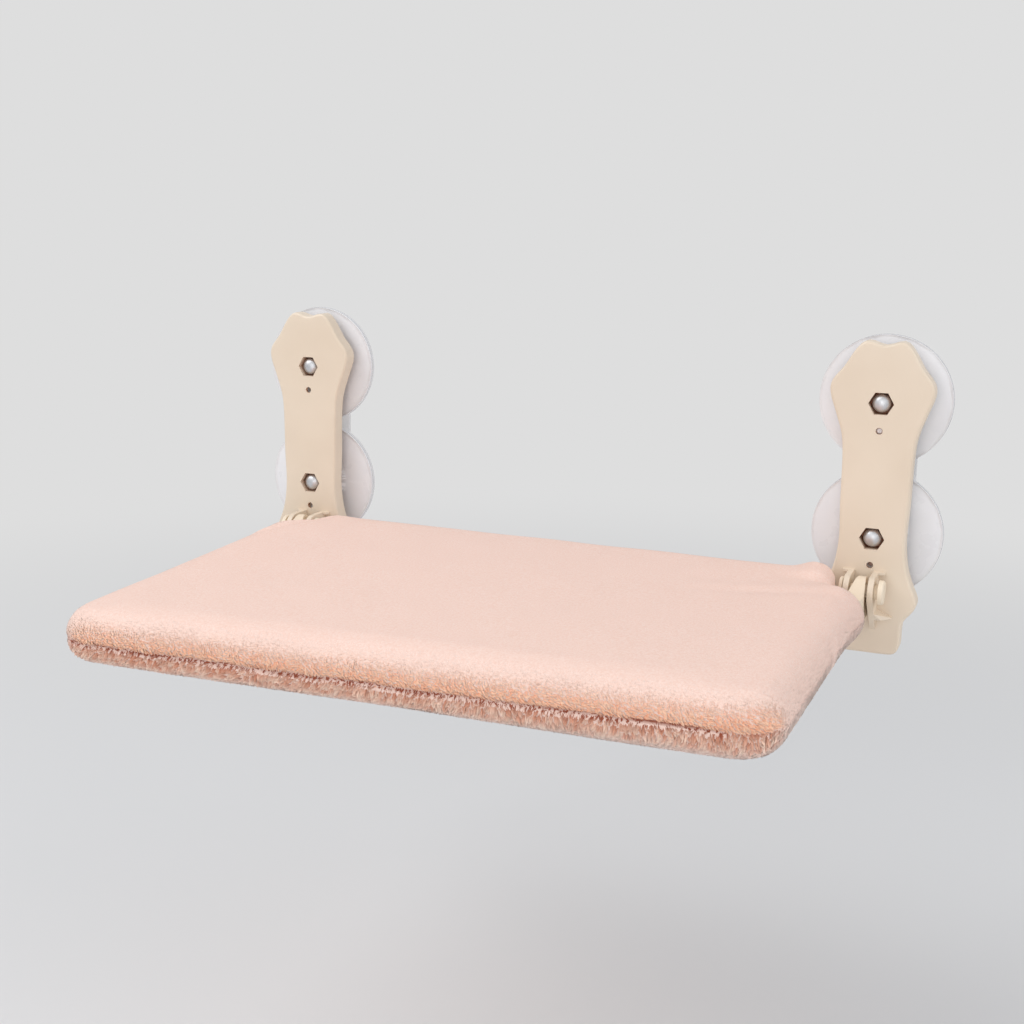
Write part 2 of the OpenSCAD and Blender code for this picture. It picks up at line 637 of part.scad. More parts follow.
// Zip: tape let into the cover's underside, chain and end stops
module cover_zip() color([0.88, 0.74, 0.68]) {
    box([-zip_length / 2 - stop_length, zip_y - zip_w / 2, bed_bottom],
        [zip_length / 2 + stop_length, zip_y + zip_w / 2, bed_bottom + tape_t]);
    box([-zip_length / 2, zip_y - chain_w / 2, chain_bottom], [zip_length / 2, zip_y + chain_w / 2, bed_bottom + cut / 2]);
    for (s = [-1, 1]) translate([s * (zip_length / 2 + stop_length / 2), zip_y, 0])
        box([-stop_length / 2, -0.8 * chain_w, chain_bottom - gap], [stop_length / 2, 0.8 * chain_w, bed_bottom + cut / 2]);
}

module zip_slider() color([0.78, 0.79, 0.81]) translate([slider_x, zip_y, 0]) difference() {
    union() {
        box([-slider_length / 2, -chain_w / 2 - gap - slider_wall, slider_bottom],
            [slider_length / 2, chain_w / 2 + gap + slider_wall, bed_bottom - gap]);
        box([-lug_length / 2, -lug_half, slider_bottom - lug_drop], [lug_length / 2, lug_half, slider_bottom + slider_plate / 2]);
    }
    box([-slider_length / 2 - cut, -chain_w / 2 - gap, chain_bottom - gap],
        [slider_length / 2 + cut, chain_w / 2 + gap, bed_bottom]);
    translate([0, lug_half + cut, eye_z]) rod_y(eye_r + fit, 0, -2 * lug_half - 2 * cut, $fn = 32);
}

// Pull: a flat tab forked over the slider's lug and hung on its own cross pin
module zip_pull() color([0.78, 0.79, 0.81]) translate([slider_x, zip_y, eye_z]) {
    difference() {
        union() {
            rod_y(pull_t / 2 + fit, pull_w / 2, -pull_w / 2, $fn = 32);
            box([-pull_t / 2, -pull_w / 2, -pull_length], [pull_t / 2, pull_w / 2, 0]);
        }
        box([-lug_length, -lug_half - gap, -lug_drop - gap], [lug_length, lug_half + gap, lug_drop]);
        translate([0, 0, -pull_length + pull_w / 2]) rod_x(pull_w / 5, -pull_t, pull_t, $fn = 32);
    }
    rod_y(eye_r, lug_half + 2 * gap, -lug_half - 2 * gap, $fn = 32);
}

on_side(left) bracket_plate();  // bracket_plate_left
on_side(right) bracket_plate();  // bracket_plate_right
on_side(left) suction_pad();  // suction_pad_left
on_side(right) suction_pad();  // suction_pad_right
on_side(left) at_cup(upper) suction_disc();  // suction_disc_upper_left
on_side(left) at_cup(lower) suction_disc();  // suction_disc_lower_left
on_side(right) at_cup(upper) suction_disc();  // suction_disc_upper_right
on_side(right) at_cup(lower) suction_disc();  // suction_disc_lower_right
on_side(left) at_cup(upper) cup_stud();  // cup_stud_upper_left
on_side(left) at_cup(lower) cup_stud();  // cup_stud_lower_left
on_side(right) at_cup(upper) cup_stud();  // cup_stud_upper_right
on_side(right) at_cup(lower) cup_stud();  // cup_stud_lower_right
on_side(left) at_cup(upper) cap_nut();  // cap_nut_upper_left
on_side(left) at_cup(lower) cap_nut();  // cap_nut_lower_left
on_side(right) at_cup(upper) cap_nut();  // cap_nut_upper_right
on_side(right) at_cup(lower) cap_nut();  // cap_nut_lower_right
on_side(left) pivot_pin();  // pivot_pin_left
on_side(right) pivot_pin();  // pivot_pin_right
on_side(left) pin_cap();  // pin_cap_left
on_side(right) pin_cap();  // pin_cap_right
on_side(left) hinge_arm();  // hinge_arm_left
on_side(right) hinge_arm();  // hinge_arm_right
frame_tube();
rear_tube();
arm_rivets();
support_sling();
foam_pad();
plush_cover();
cover_zip();
zip_slider();
zip_pull();
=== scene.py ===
import math

import bmesh
import bpy
import numpy as np
from mathutils import Matrix


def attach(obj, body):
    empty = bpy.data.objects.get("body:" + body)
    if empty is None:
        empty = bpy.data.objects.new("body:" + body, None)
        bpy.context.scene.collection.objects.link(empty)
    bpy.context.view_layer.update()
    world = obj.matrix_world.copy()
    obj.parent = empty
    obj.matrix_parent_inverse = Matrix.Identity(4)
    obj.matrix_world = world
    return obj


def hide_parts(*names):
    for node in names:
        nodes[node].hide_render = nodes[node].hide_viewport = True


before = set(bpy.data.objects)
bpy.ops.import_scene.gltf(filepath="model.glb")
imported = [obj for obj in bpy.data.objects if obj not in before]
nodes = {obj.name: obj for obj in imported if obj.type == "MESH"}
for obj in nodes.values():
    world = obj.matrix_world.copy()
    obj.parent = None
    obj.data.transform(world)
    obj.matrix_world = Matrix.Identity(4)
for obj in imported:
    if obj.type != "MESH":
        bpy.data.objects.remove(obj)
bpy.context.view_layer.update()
print("frame loaded:", len(nodes), "nodes")


# sRGB colours, 0 to 255, as Blender's linear ones
def linear(red, green, blue):
    share = np.array([red, green, blue]) / 255
    return tuple(np.where(share <= 0.04045, share / 12.92, ((share + 0.055) / 1.055) ** 2.4)) + (1.0,)


# A new object in the scene, from its mesh, camera or light
def linkObject(name, data):
    piece = bpy.data.objects.new(name, data)
    bpy.context.scene.collection.objects.link(piece)
    return piece


camera = {
    "place": (0.3783, -1.0643, 0.1861),
    "turn": 22.4,    # degrees to the left of straight at the window
    "tilt": 12.26,    # degrees down
    "roll": 0.88,
    "lens": 49.64,    # millimetres on a 36 mm sensor
    "sensor": 36.0,
    "clip": (0.01, 50),
}


# The matrix of an object at a place whose own axes point these ways
def placed(place, right, up, back):
    matrix = Matrix.Identity(4)
    for column, axis in enumerate((right, up, back, place)):
        for row in range(3):
            matrix[row][column] = axis[row]
    return matrix


# The view direction comes from turn and tilt, and roll turns right and up about it
def makeCamera(c):
    turn, tilt, roll = (math.radians(c[k]) for k in ("turn", "tilt", "roll"))
    ahead = np.array([-math.sin(turn) * math.cos(tilt), math.cos(turn) * math.cos(tilt), -math.sin(tilt)])
    right = np.array([math.cos(turn), math.sin(turn), 0])
    up = np.cross(right, ahead)
    right, up = (math.cos(roll) * right + math.sin(roll) * up, math.cos(roll) * up - math.sin(roll) * right)
    data = bpy.data.cameras.new("photoCamera")
    data.lens, data.sensor_width = c["lens"], c["sensor"]
    data.clip_start, data.clip_end = c["clip"]
    body = linkObject("photoCamera", data)
    body.matrix_world = placed(c["place"], right, up, -ahead)
    bpy.context.scene.camera = body


makeCamera(camera)


# A mesh from an array of points and an array of faces that all have as many corners
def meshOf(name, points, faces, smooth=True):
    mesh = bpy.data.meshes.new(name)
    faces = np.asarray(faces, np.int32)
    count, corners = faces.shape
    mesh.vertices.add(len(points))
    mesh.vertices.foreach_set("co", np.asarray(points, np.float32).ravel())
    mesh.loops.add(count * corners)
    mesh.loops.foreach_set("vertex_index", faces.ravel())
    mesh.polygons.add(count)
    mesh.polygons.foreach_set("loop_start", np.arange(count, dtype=np.int32) * corners)
    mesh.update(calc_edges=True)
    mesh.validate()
    if smooth:
        mesh.shade_smooth()
    return linkObject(name, mesh)


# A shader node with its inputs and settings by name
def node(tree, kind, **values):
    made = tree.nodes.new("ShaderNode" + kind)
    for key, value in values.items():
        if key in made.inputs:
            made.inputs[key].default_value = value
        else:
            setattr(made, key, value)
    return made


# A link from an output into a node's input, by the input's name or number
def feed(made, socket, source):
    made.id_data.links.new(source, made.inputs[socket])


def newMaterial(name):
    material = bpy.data.materials.new(name)
    material.use_nodes = True
    tree = material.node_tree
    tree.nodes.clear()
    output, shader = node(tree, "OutputMaterial"), node(tree, "BsdfPrincipled")
    feed(output, "Surface", shader.outputs["BSDF"])
    return material, tree, shader


def noise(tree, scale, detail=3.0, rough=0.5):
    place = node(tree, "TexCoord")
    texture = node(tree, "TexNoise", Scale=scale, Detail=detail, Roughness=rough)
    feed(texture, "Vector", place.outputs["Object"])
    return texture.outputs["Fac"]


# An opaque grey whose channels all hold the value, for ramps that give a roughness
def grey(value):
    return (value,) * 3 + (1,)


# A math node over two sockets
def maths(tree, operation, first, second):
    made = node(tree, "Math", operation=operation)
    feed(made, 0, first)
    feed(made, 1, second)
    return made.outputs[0]


# The first colour where share is 0 and the second where it is 1; each is a socket or a fixed colour
def mixColours(tree, share, first, second):
    made = node(tree, "Mix", data_type="RGBA")
    feed(made, 0, share)
    for socket, value in ((6, first), (7, second)):
        if isinstance(value, tuple):
            made.inputs[socket].default_value = value
        else:
            feed(made, socket, value)
    return made.outputs[2]


# The values that a mesh carries under a label
def carried(tree, label):
    return node(tree, "Attribute", attribute_name=label).outputs["Fac"]


def ramp(tree, value, stops):
    made = node(tree, "ValToRGB")
    elements = made.color_ramp.elements
    while len(elements) < len(stops):
        elements.new(0.5)
    for element, (place, colour) in zip(elements, stops):
        element.position, element.color = place, colour
    feed(made, "Fac", value)
    return made.outputs["Color"]


def bumpInto(tree, shader, height, strength, distance):
    made = node(tree, "Bump", Strength=strength, Distance=distance)
    feed(made, "Height", height)
    feed(shader, "Normal", made.outputs["Normal"])


# Moulded plastic: two close shades in wide clouds, a fine spark-eroded grain and uneven gloss; where a mesh
# marks it, a darker brown is painted in as painted shade of recesses
def mouldedPlastic(name, low, high, rough, grain=0.12, coat=0.0, pocket=None):
    material, tree, shader = newMaterial(name)
    colour = ramp(tree, noise(tree, 18, 2), [(0.3, low), (0.7, high)])
    if pocket:
        colour = mixColours(tree, carried(tree, "pocket"), colour, pocket)
    feed(shader, "Base Color", colour)
    gloss = ramp(tree, noise(tree, 60, 4), [(0.3, grey(rough - 0.05)), (0.7, grey(rough + 0.05))])
    feed(shader, "Roughness", gloss)
    bumpInto(tree, shader, noise(tree, 2600, 2), grain, 0.0001)
    shader.inputs["Coat Weight"].default_value = coat
    return material


# Metal: one colour with a rubbed, uneven gloss
def metal(name, colour, rough, grain):
    material, tree, shader = newMaterial(name)
    shader.inputs["Base Color"].default_value = colour
    shader.inputs["Metallic"].default_value = 1.0
    gloss = ramp(tree, noise(tree, 300, 4, 0.6), [(0.25, grey(rough * 0.7)), (0.75, grey(rough * 1.3))])
    feed(shader, "Roughness", gloss)
    bumpInto(tree, shader, noise(tree, 900, 3, 0.6), grain, 0.0001)
    return material


# Clear soft vinyl: a see-through milky sheet of uneven gloss
def clearVinyl(name):
    material, tree, shader = newMaterial(name)
    milk = ramp(tree, noise(tree, 40, 3), [(0.3, linear(222, 222, 226)), (0.7, linear(230, 230, 233))])
    feed(shader, "Base Color", milk)
    shader.inputs["Alpha"].default_value = 0.38
    gloss = ramp(tree, noise(tree, 40, 3), [(0.3, grey(0.12)), (0.7, grey(0.2))])
    feed(shader, "Roughness", gloss)
    bumpInto(tree, shader, noise(tree, 25, 2), 0.05, 0.0005)
    return material


# Woven cloth: two crossed waves over and under each other
def wovenCloth(name, low, high, pitch):
    material, tree, shader = newMaterial(name)
    place = node(tree, "TexCoord")
    waves = []
    for direction in ("X", "Y"):
        wave = node(tree, "TexWave", wave_type="BANDS", bands_direction=direction, Scale=1 / pitch / 20)
        feed(wave, "Vector", place.outputs["Object"])
        waves.append(wave.outputs["Fac"])
    both = maths(tree, "MULTIPLY", *waves)
    feed(shader, "Base Color", ramp(tree, both, [(0.0, low), (1.0, high)]))
    bumpInto(tree, shader, both, 0.4, 0.0004)
    shader.inputs["Roughness"].default_value = 0.85
    return material


# Each plate's and disc's second, brown colour is painted shade: of the nut pockets and peg holes, and of peg
# ends in deep holes
creamPlate = mouldedPlastic("creamPlate", linear(225, 208, 187), linear(231, 215, 195), 0.42,
                            pocket=linear(206, 142, 104))
creamPin = mouldedPlastic("creamPin", linear(236, 220, 196), linear(241, 226, 204), 0.38)
creamArm = mouldedPlastic("creamArm", linear(232, 214, 190), linear(238, 221, 198), 0.42)
whiteDisc = mouldedPlastic("whiteDisc", linear(231, 230, 232), linear(236, 235, 237), 0.3, 0.05, 0.2,
                           pocket=linear(158, 108, 78))
padVinyl = clearVinyl("padVinyl")
brightNut = metal("brightNut", linear(206, 207, 210), 0.42, 0.08)
zincStud = metal("zincStud", linear(190, 190, 192), 0.35, 0.1)
coatedTube = mouldedPlastic("coatedTube", linear(150, 152, 156), linear(160, 162, 166), 0.5)
alloyRivet = metal("alloyRivet", linear(200, 200, 202), 0.4, 0.1)
slingCloth = wovenCloth("slingCloth", linear(190, 170, 150), linear(222, 206, 188), 0.0008)
foamBody = mouldedPlastic("foamBody", linear(240, 228, 196), linear(246, 236, 208), 0.9, 0.5)
zipTape = wovenCloth("zipTape", linear(200, 150, 132), linear(232, 186, 168), 0.0007)
zipMetal = metal("zipMetal", linear(206, 206, 208), 0.25, 0.05)

finishOf = {
    "bracket_plate": creamPlate, "suction_pad": padVinyl, "suction_disc": whiteDisc,
    "cup_stud": zincStud, "cap_nut": brightNut, "pivot_pin": creamPin, "pin_cap": creamPin,
    "hinge_arm": creamArm, "frame_tube": coatedTube, "rear_tube": coatedTube, "arm_rivets": alloyRivet,
    "support_sling": slingCloth, "foam_pad": foamBody, "plush_cover": slingCloth, "cover_zip": zipTape,
    "zip_slider": zipMetal, "zip_pull": zipMetal,
}


def dress(piece, material):
    piece.data.materials.clear()
    piece.data.materials.append(material)


for name, part in nodes.items():
    for start, material in finishOf.items():
        if name.startswith(start):
            dress(part, material)
print("CAD nodes have their finishes")

bed = {
    "half": 0.2432,
    "front": -0.3598,
    "rear": -0.0318,
    "level": -0.0917,
    "edgeRadius": 0.0205,
    "frontCorner": 0.031,
    "sideCorner": 0.022,
    "notchX": 0.216,
    "notchY": -0.0738,
    "notchRadius": 0.004,
    "armPocket": (0.2215, 0.2405, -0.107, -0.0835),    # bare skin behind each arm: from and to in x and z
    "armReach": 0.018,        # and this far forward of the notch
    "zipTape": (0.176, -0.0763, 0.0145, -0.105),    # half length, middle, half width, and z it is under
    "crown": 0.0016,
    "rimInset": 0.0008,       # the skin lies this much inside the pile at the rim
    "topInset": -0.0004,      # and at the top and underside, where it swells
    "underInset": 0.0004,
    "quickSwell": 0.001,      # stands for the swelling where the cloth isn't run
    "voxel": 0.0045,
    "foamVoxel": 0.005,
    "foamInset": 0.0012,
    "pressure": 0.32,
    "swellFrames": 20,
    "rimBand": 0.006,         # points this near the rim's height are held while the cover swells
    "clothMass": 0.3,
    "clothStretch": 15,
    "clothBend": 0.5,
    "mostSwell": 0.0012,
    "creaseDepth": 0.0015,
    "creaseWidth": 0.002,
    "roundBand": 0.007,       # within this of the seam the pile stands as on a plain round edge
    "seamDrop": 0.0012,       # the seam lies this much under the middle
    "seamWave": (0.0006, 0.07),    # how far it wanders, and over what distance
    "cornerThin": 0.07,       # the front corners are this much thinner
    "cornerX": (0.225, 0.055),     # their middle and half width in x
    "cornerY": 0.06,               # and their half width in y, from the front
    "frontTilt": 0.0038,      # the front edge hangs at the left and stands at the right
    "tiltRear": -0.1,        # the tilt starts here in y
    "tiltFull": (0.2, 1.15),  # it is full at this x, and never more than this share of it
    "creaseFade": (0.195, 0.225),  # the seam's crease fades between these in x
    "creaseRight": 0.8,            # by this share
    "topWave": (0.0002, 0.09),     # how far the top waves, and over what distance
}


def arcPoints(x, y, radius, start, end, count):
    angle = np.radians(np.linspace(start, end, count))
    return np.stack([x + radius * np.cos(angle), y + radius * np.sin(angle)], 1)


def linePoints(start, end, count):
    share = np.linspace(0, 1, count + 2)[1:-1, None]
    return start + (end - start) * share


# The bed's outline in plan, out metres outside the line that its rounded edge follows:
# arcs at the front and side corners, an inward arc at the notch and an arc at the rear lobe
def planOutline(b, out):
    r = b["edgeRadius"]
    wide, small, inward = b["frontCorner"], b["sideCorner"], b["notchRadius"]
    front = arcPoints(b["half"] - wide, b["front"] + wide, wide - r + out, -90, 0, 26)
    side = arcPoints(b["half"] - small, b["notchY"] - small, small - r + out, 0, 90, 14)
    notch = arcPoints(b["notchX"] + inward, b["notchY"] + inward, inward + r - out, 270, 180, 10)
    rear = arcPoints(b["notchX"] - small, b["rear"] - small, small - r + out, 0, 90, 14)
    half = np.concatenate([front, linePoints(front[-1], side[0], 40), side, notch, rear])
    other = half[::-1] * [-1, 1]
    across, back = linePoints(half[-1], other[0], 80), linePoints(other[-1], half[0], 80)
    return np.concatenate([half, across, other, back])


# A closed skin through rings of equal length, with a point at each end
def closedLoft(name, rings, low, high):
    count, around = len(rings), len(rings[0])
    k, i = np.meshgrid(np.arange(count - 1), np.arange(around), indexing="ij")
    a, b = k * around + i, k * around + (i + 1) % around
    bands = np.stack([a, b, b + around, a, b + around, a + around], -1).reshape(-1, 3)
    i = np.arange(around)
    foot = np.stack([(i + 1) % around, i, np.full(around, count * around)], 1)
    last = (count - 1) * around
    top = np.stack([last + i, last + (i + 1) % around, np.full(around, count * around + 1)], 1)
    points = np.concatenate([np.concatenate(rings), [low], [high]])
    return meshOf(name, points, np.concatenate([bands, foot, top]))


# The start of the cover: a half round carried round the plan, and shrinking rings over the top and underside
def startSkin(b):
    rim = b["edgeRadius"] - b["rimInset"]
    unswollen = 0
    over, under = (b["edgeRadius"] - b[key] + unswollen for key in ("topInset", "underInset"))
    middle = np.array([0, (b["front"] + b["rear"]) / 2])
    flat = planOutline(b, 0)
    rings = []

    def addRing(outline, height):
        rings.append(np.column_stack([outline, np.full(len(outline), height)]))

    for share in np.linspace(0.1, 0.96, 12):
        addRing(middle + (flat - middle) * share, b["level"] - under)
    for angle in np.radians(np.linspace(-90, 90, 19)):
        height = np.sin(angle) * (over if angle > 0 else under)
        addRing(planOutline(b, rim * np.cos(angle)), b["level"] + height)
    for share in np.linspace(0.96, 0.1, 12):
        rise = b["crown"] * (1 - share * share)
        addRing(middle + (flat - middle) * share, b["level"] + over + rise)
    foot, top = [*middle, b["level"] - under], [*middle, b["level"] + over + b["crown"]]
    return closedLoft("coverStart", rings, foot, top)


def evaluatedMesh(piece):
    graph = bpy.context.evaluated_depsgraph_get()
    return bpy.data.meshes.new_from_object(piece.evaluated_get(graph))


def triplesOf(items, label):
    values = np.empty(len(items) * 3, np.float32)
    items.foreach_get(label, values)
    return values.reshape(-1, 3).astype(float)


def pointsOf(mesh):
    return triplesOf(mesh.vertices, "co")


def normalsOf(mesh):
    return triplesOf(mesh.vertex_normals, "vector")


def setPoints(mesh, points):
    mesh.vertices.foreach_set("co", np.asarray(points, np.float32).ravel())
    mesh.update()


def applyModifiers(piece):
    mesh = evaluatedMesh(piece)
    piece.modifiers.clear()
    piece.data = mesh


def remesh(piece, voxel):
    modifier = piece.modifiers.new("even", "REMESH")
    modifier.mode = "VOXEL"
    modifier.voxel_size = voxel
    applyModifiers(piece)


# Cloth under air pressure, held at the rim by the frame, with each point's way from its start capped
def swell(piece, b):
    start = pointsOf(piece.data)
    rim = piece.vertex_groups.new(name="rim")
    rim.add(np.nonzero(np.abs(start[:, 2] - b["level"]) < b["rimBand"])[0].tolist(), 1.0, "REPLACE")
    modifier = piece.modifiers.new("swell", "CLOTH")
    settings = modifier.settings
    settings.vertex_group_mass = "rim"
    settings.quality = 4
    settings.mass = b["clothMass"]
    settings.use_pressure = True
    settings.uniform_pressure_force = b["pressure"]
    settings.effector_weights.gravity = 0
    settings.tension_stiffness = settings.compression_stiffness = b["clothStretch"]
    settings.bending_stiffness = b["clothBend"]
    modifier.point_cache.frame_start = 1
    modifier.point_cache.frame_end = b["swellFrames"]
    for number in range(1, b["swellFrames"] + 1):
        bpy.context.scene.frame_set(number)
    swollen = pointsOf(evaluatedMesh(piece))
    piece.modifiers.clear()
    bpy.context.scene.frame_set(1)
    move = swollen - start
    reach = np.linalg.norm(move, axis=1, keepdims=True)
    setPoints(piece.data, start + move * np.minimum(1, b["mostSwell"] / np.maximum(reach, 1e-9)))


# 0 below low, 1 above high, and smooth between
def smoothStep(low, high, value):
    share = np.clip((value - low) / (high - low), 0, 1)
    return share * share * (3 - 2 * share)


def unit(vectors):
    return vectors / np.maximum(np.linalg.norm(vectors, axis=1, keepdims=True), 1e-12)


# Smooth noise, mostly between -1 and 1: a sum of sines along seeded directions
def waveNoise(points, size, seed, waves=10):
    generator = np.random.default_rng(seed)
    direction = unit(generator.normal(size=(waves, points.shape[1])))
    pitch = size * generator.uniform(0.7, 1.5, waves)
    phase = generator.uniform(0, 2 * np.pi, waves)
    return np.sin(points @ (direction / pitch[:, None] * 2 * np.pi).T + phase).sum(1) / math.sqrt(waves)


# How far points are from a broken line in plan, and how far along it they are from 0 to 1
def fromLine(points, line):
    best = np.full(len(points), np.inf)
    along = np.zeros(len(points))
    side = np.zeros(len(points))
    lengths = np.linalg.norm(np.diff(line, axis=0), axis=1)
    done = 0.0
    for a, b, length in zip(line[:-1], line[1:], lengths):
        way = (b - a) / length
        t = np.clip((points - a) @ way, 0, length)
        gapTo = points - a - t[:, None] * way
        distance = np.linalg.norm(gapTo, axis=1)
        nearer = distance < best
        best = np.where(nearer, distance, best)
        along = np.where(nearer, (done + t) / lengths.sum(), along)
        side = np.where(nearer, way[0] * gapTo[:, 1] - way[1] * gapTo[:, 0], side)
        done += length
    return best, along, np.sign(side)


folds = {
    # Plan points of each fold's bottom, its depth and half width, the ridge behind it, and how red its
    # valley is painted: the roots' red and painted shade in the fold
    "right": {
        "line": [[0.236, -0.105], [0.2287, -0.1106], [0.2184, -0.1212], [0.1999, -0.1315], [0.181, -0.1392],
                 [0.162, -0.1469], [0.1427, -0.1534], [0.1226, -0.1574], [0.109, -0.1596]],
        "depth": 0.0007, "width": 0.008, "ridge": 0.7, "ridgeAt": 0.014, "ridgeWidth": 0.008,
        "rearSide": -1, "full": 0.5, "red": 0.12,
    },
    "left": {
        "line": [[-0.236, -0.133], [-0.2296, -0.1273], [-0.2208, -0.119], [-0.2113, -0.1043],
                 [-0.2034, -0.086], [-0.198, -0.0728], [-0.19, -0.0518]],
        "depth": 0.0012, "width": 0.0032, "ridge": 0.5, "ridgeAt": 0.007, "ridgeWidth": 0.0045,
        "rearSide": 1, "full": 0.7, "red": 0.5,
    },
}
lobe = {                       # the right rear lobe stands up full beside its hinge
    "from": (0.182, 0.203),    # it grows between these in x
    "rear": (-0.086, -0.068),  # and between these in y
    "puff": 0.0062,            # how far it stands out, most at the given angle over level
    "angle": 42.0,
    "spread": 36.0,
    "crest": (0.203, 0.013, 0.0022),    # a rise over the top: middle and half width in x, and height
    "blush": (0.218, -0.064, 0.005, 0.45),    # painted shade, reddish brown, in the gap beside the hinge: x, y, radius and share
}
cheeks = {                     # the front corners of the notches are full, and the left one stands higher
    "middle": (0.243, -0.09),
    "reach": (0.022, 0.036),
    "puff": 0.004,
    "level": (-0.0965, 0.016),    # height at which they stand out most, and half height
    "leftMiddle": (-0.21, -0.08),
    "leftReach": (0.024, 0.034),
    "leftRise": 0.0034,
}


# Height of the seam line, which follows the tilt of the bed's front
def frontSwing(points, b):
    forward = smoothStep(b["tiltRear"], b["front"] + 0.03, points[:, 1])
    full, most = b["tiltFull"]
    return b["frontTilt"] * forward * np.clip(points[:, 0] / full, -most, most)


# The seam's line wanders a little
def seamWander(points, b):
    far, size = b["seamWave"]
    return far * waveNoise(points[:, :2], size, 5) - b["seamDrop"]


def seamHeight(points, b):
    return b["level"] + frontSwing(points, b) + seamWander(points, b)


# The share of the crease that is left at the right end, past the corner
def rightFade(points, b):
    return 1 - b["creaseRight"] * smoothStep(*b["creaseFade"], points[:, 0])


# A bell across the seam, which is shallow at the right end
def creaseShare(points, b, width):
    return rightFade(points, b) * np.exp(-((points[:, 2] - seamHeight(points, b)) / width) ** 2)


# Each fold is a bell-shaped valley along its line with a ridge on its rear side, fading at both ends
def foldPlaces(points, fold):
    distance, along, side = fromLine(points[:, :2], np.array(fold["line"]))
    fade = smoothStep(0, 0.1, along) * (1 - smoothStep(fold["full"], 1, along))
    valley = fade * np.exp(-(distance / fold["width"]) ** 2)
    ridge = fade * np.exp(-((distance - fold["ridgeAt"]) / fold["ridgeWidth"]) ** 2)
    return valley, ridge * (side * fold["rearSide"] > 0)


# Adds to the swollen skin the thin front corners, the tilt, the seam's crease and the folds at the hinges;
# the tilt hardly lifts the right underside
def shapeSkin(points, normals, b, creaseDepth):
    shaped = points.copy()
    at, wide = b["cornerX"]
    ahead = ((points[:, 1] - b["front"]) / b["cornerY"]) ** 2
    corner = sum(np.exp(-(((points[:, 0] - side * at) / wide) ** 2 + ahead)) for side in (-1, 1))
    shaped[:, 2] = b["level"] + (points[:, 2] - b["level"]) * (1 - b["cornerThin"] * corner)
    flatNormal = np.linalg.norm(normals[:, :2], axis=1)
    edge = smoothStep(0.55, 0.9, flatNormal)
    outward = normals[:, :2] / np.maximum(flatNormal, 1e-9)[:, None]
    fade = rightFade(points, b) * smoothStep(0.45, 0.8, -outward[:, 1])
    crease = fade * np.exp(-((points[:, 2] - b["level"] - seamWander(points, b)) / b["creaseWidth"]) ** 2)
    depth = creaseDepth * (1 + 0.2 * waveNoise(points[:, :2], 0.05, 6))
    shaped[:, :2] -= outward * (depth * crease * edge)[:, None]
    top = smoothStep(b["level"] + 0.004, b["level"] + 0.014, points[:, 2])
    for fold in folds.values():
        valley, ridge = foldPlaces(points, fold)
        shaped[:, 2] += top * fold["depth"] * (fold["ridge"] * ridge - valley)
    rear = smoothStep(*lobe["rear"], points[:, 1])
    angle = np.degrees(np.arcsin(normals[:, 2].clip(-1, 1)))
    puff = lobe["puff"] * np.exp(-((angle - lobe["angle"]) / lobe["spread"]) ** 2)
    shaped += normals * (puff * rear * smoothStep(*lobe["from"], points[:, 0]))[:, None]
    at, wide, high = lobe["crest"]
    shaped[:, 2] += top * rear * high * np.exp(-((points[:, 0] - at) / wide) ** 2)
    away = (np.abs(points[:, :1]) - cheeks["middle"][0]) / cheeks["reach"][0]
    away = np.column_stack([away, (points[:, 1] - cheeks["middle"][1]) / cheeks["reach"][1]])
    away = np.column_stack([away, (points[:, 2] - cheeks["level"][0]) / cheeks["level"][1]])
    shaped += normals * (cheeks["puff"] * np.exp(-(away ** 2).sum(1)))[:, None]
    away = (points[:, :2] - cheeks["leftMiddle"]) / cheeks["leftReach"]
    shaped[:, 2] += top * cheeks["leftRise"] * np.exp(-(away ** 2).sum(1))
    far, size = b["topWave"]
    shaped[:, 2] += top * far * waveNoise(points[:, :2], size, 8)
    under = smoothStep(0.002, 0.016, b["level"] - points[:, 2]) * (points[:, 0] > 0)
    shaped[:, 2] += frontSwing(points, b) * (1 - 0.8 * under)
    return shaped


def makeCover(b):
    cover = startSkin(b)
    cover.name = "plushCover"
    remesh(cover, b["voxel"])
    print("cover starts with", len(cover.data.vertices), "points")
    swell(cover, b)
    print("cover has swollen")
    modifier = cover.modifiers.new("finer", "SUBSURF")
    modifier.levels = modifier.render_levels = 1
    applyModifiers(cover)
    cover.vertex_groups.clear()
    setPoints(cover.data, shapeSkin(pointsOf(cover.data), normalsOf(cover.data), b, b["creaseDepth"]))
    cover.data.shade_smooth()
    return cover


pile = {
    "upper": {                   # two values are on the flat and at the edge
        "flatDensity": 1.0e6,    # tufts to a square metre
        "edgeDensity": 0.95e6,
        "length": (0.0007, 0.003),
        "width": (0.0007, 0.0009),
        "lean": (0.8, 1.8),
        "clump": 0.0022,
        "stretch": (0.5, 0.5, 1.0),    # clumps are this much wider in x, y and z
        "gather": 0.35,          # how far tips go towards the middle of their clump
        "clumpShade": 0.55,      # share of a tuft's lightness that its clump has in common
        "stray": 0.12,
        "lump": 0.12,
        "softness": (0.985, 0.94),    # share of the skin's normal in a tuft's shading
    },
    "lower": {
        "flatDensity": 0.4e6,
        "edgeDensity": 0.9e6,
        "length": (0.001, 0.0038),
        "width": (0.001, 0.001),
        "lean": (0.8, 1.8),
        "clump": 0.003,
        "stretch": (1.0, 1.0, 0.5),
        "gather": 0.85,
        "clumpShade": 0.8,
        "stray": 0.12,
        "lump": 0.55,
        "softness": (0.97, 0.8),
    },
    "woolWay": (0.35, -0.94),    # the way in plan that the woolliest edge looks
    "woolFrom": (0.3, 0.99),
    "underSeam": 0.8,            # how much deep red painted shade the pile has just under the seam's lip
    "sideShare": 0.1,           # how woolly the sides are, next to the front
    "seamLine": 0.001,
    "mostTriangles": 180000,
}


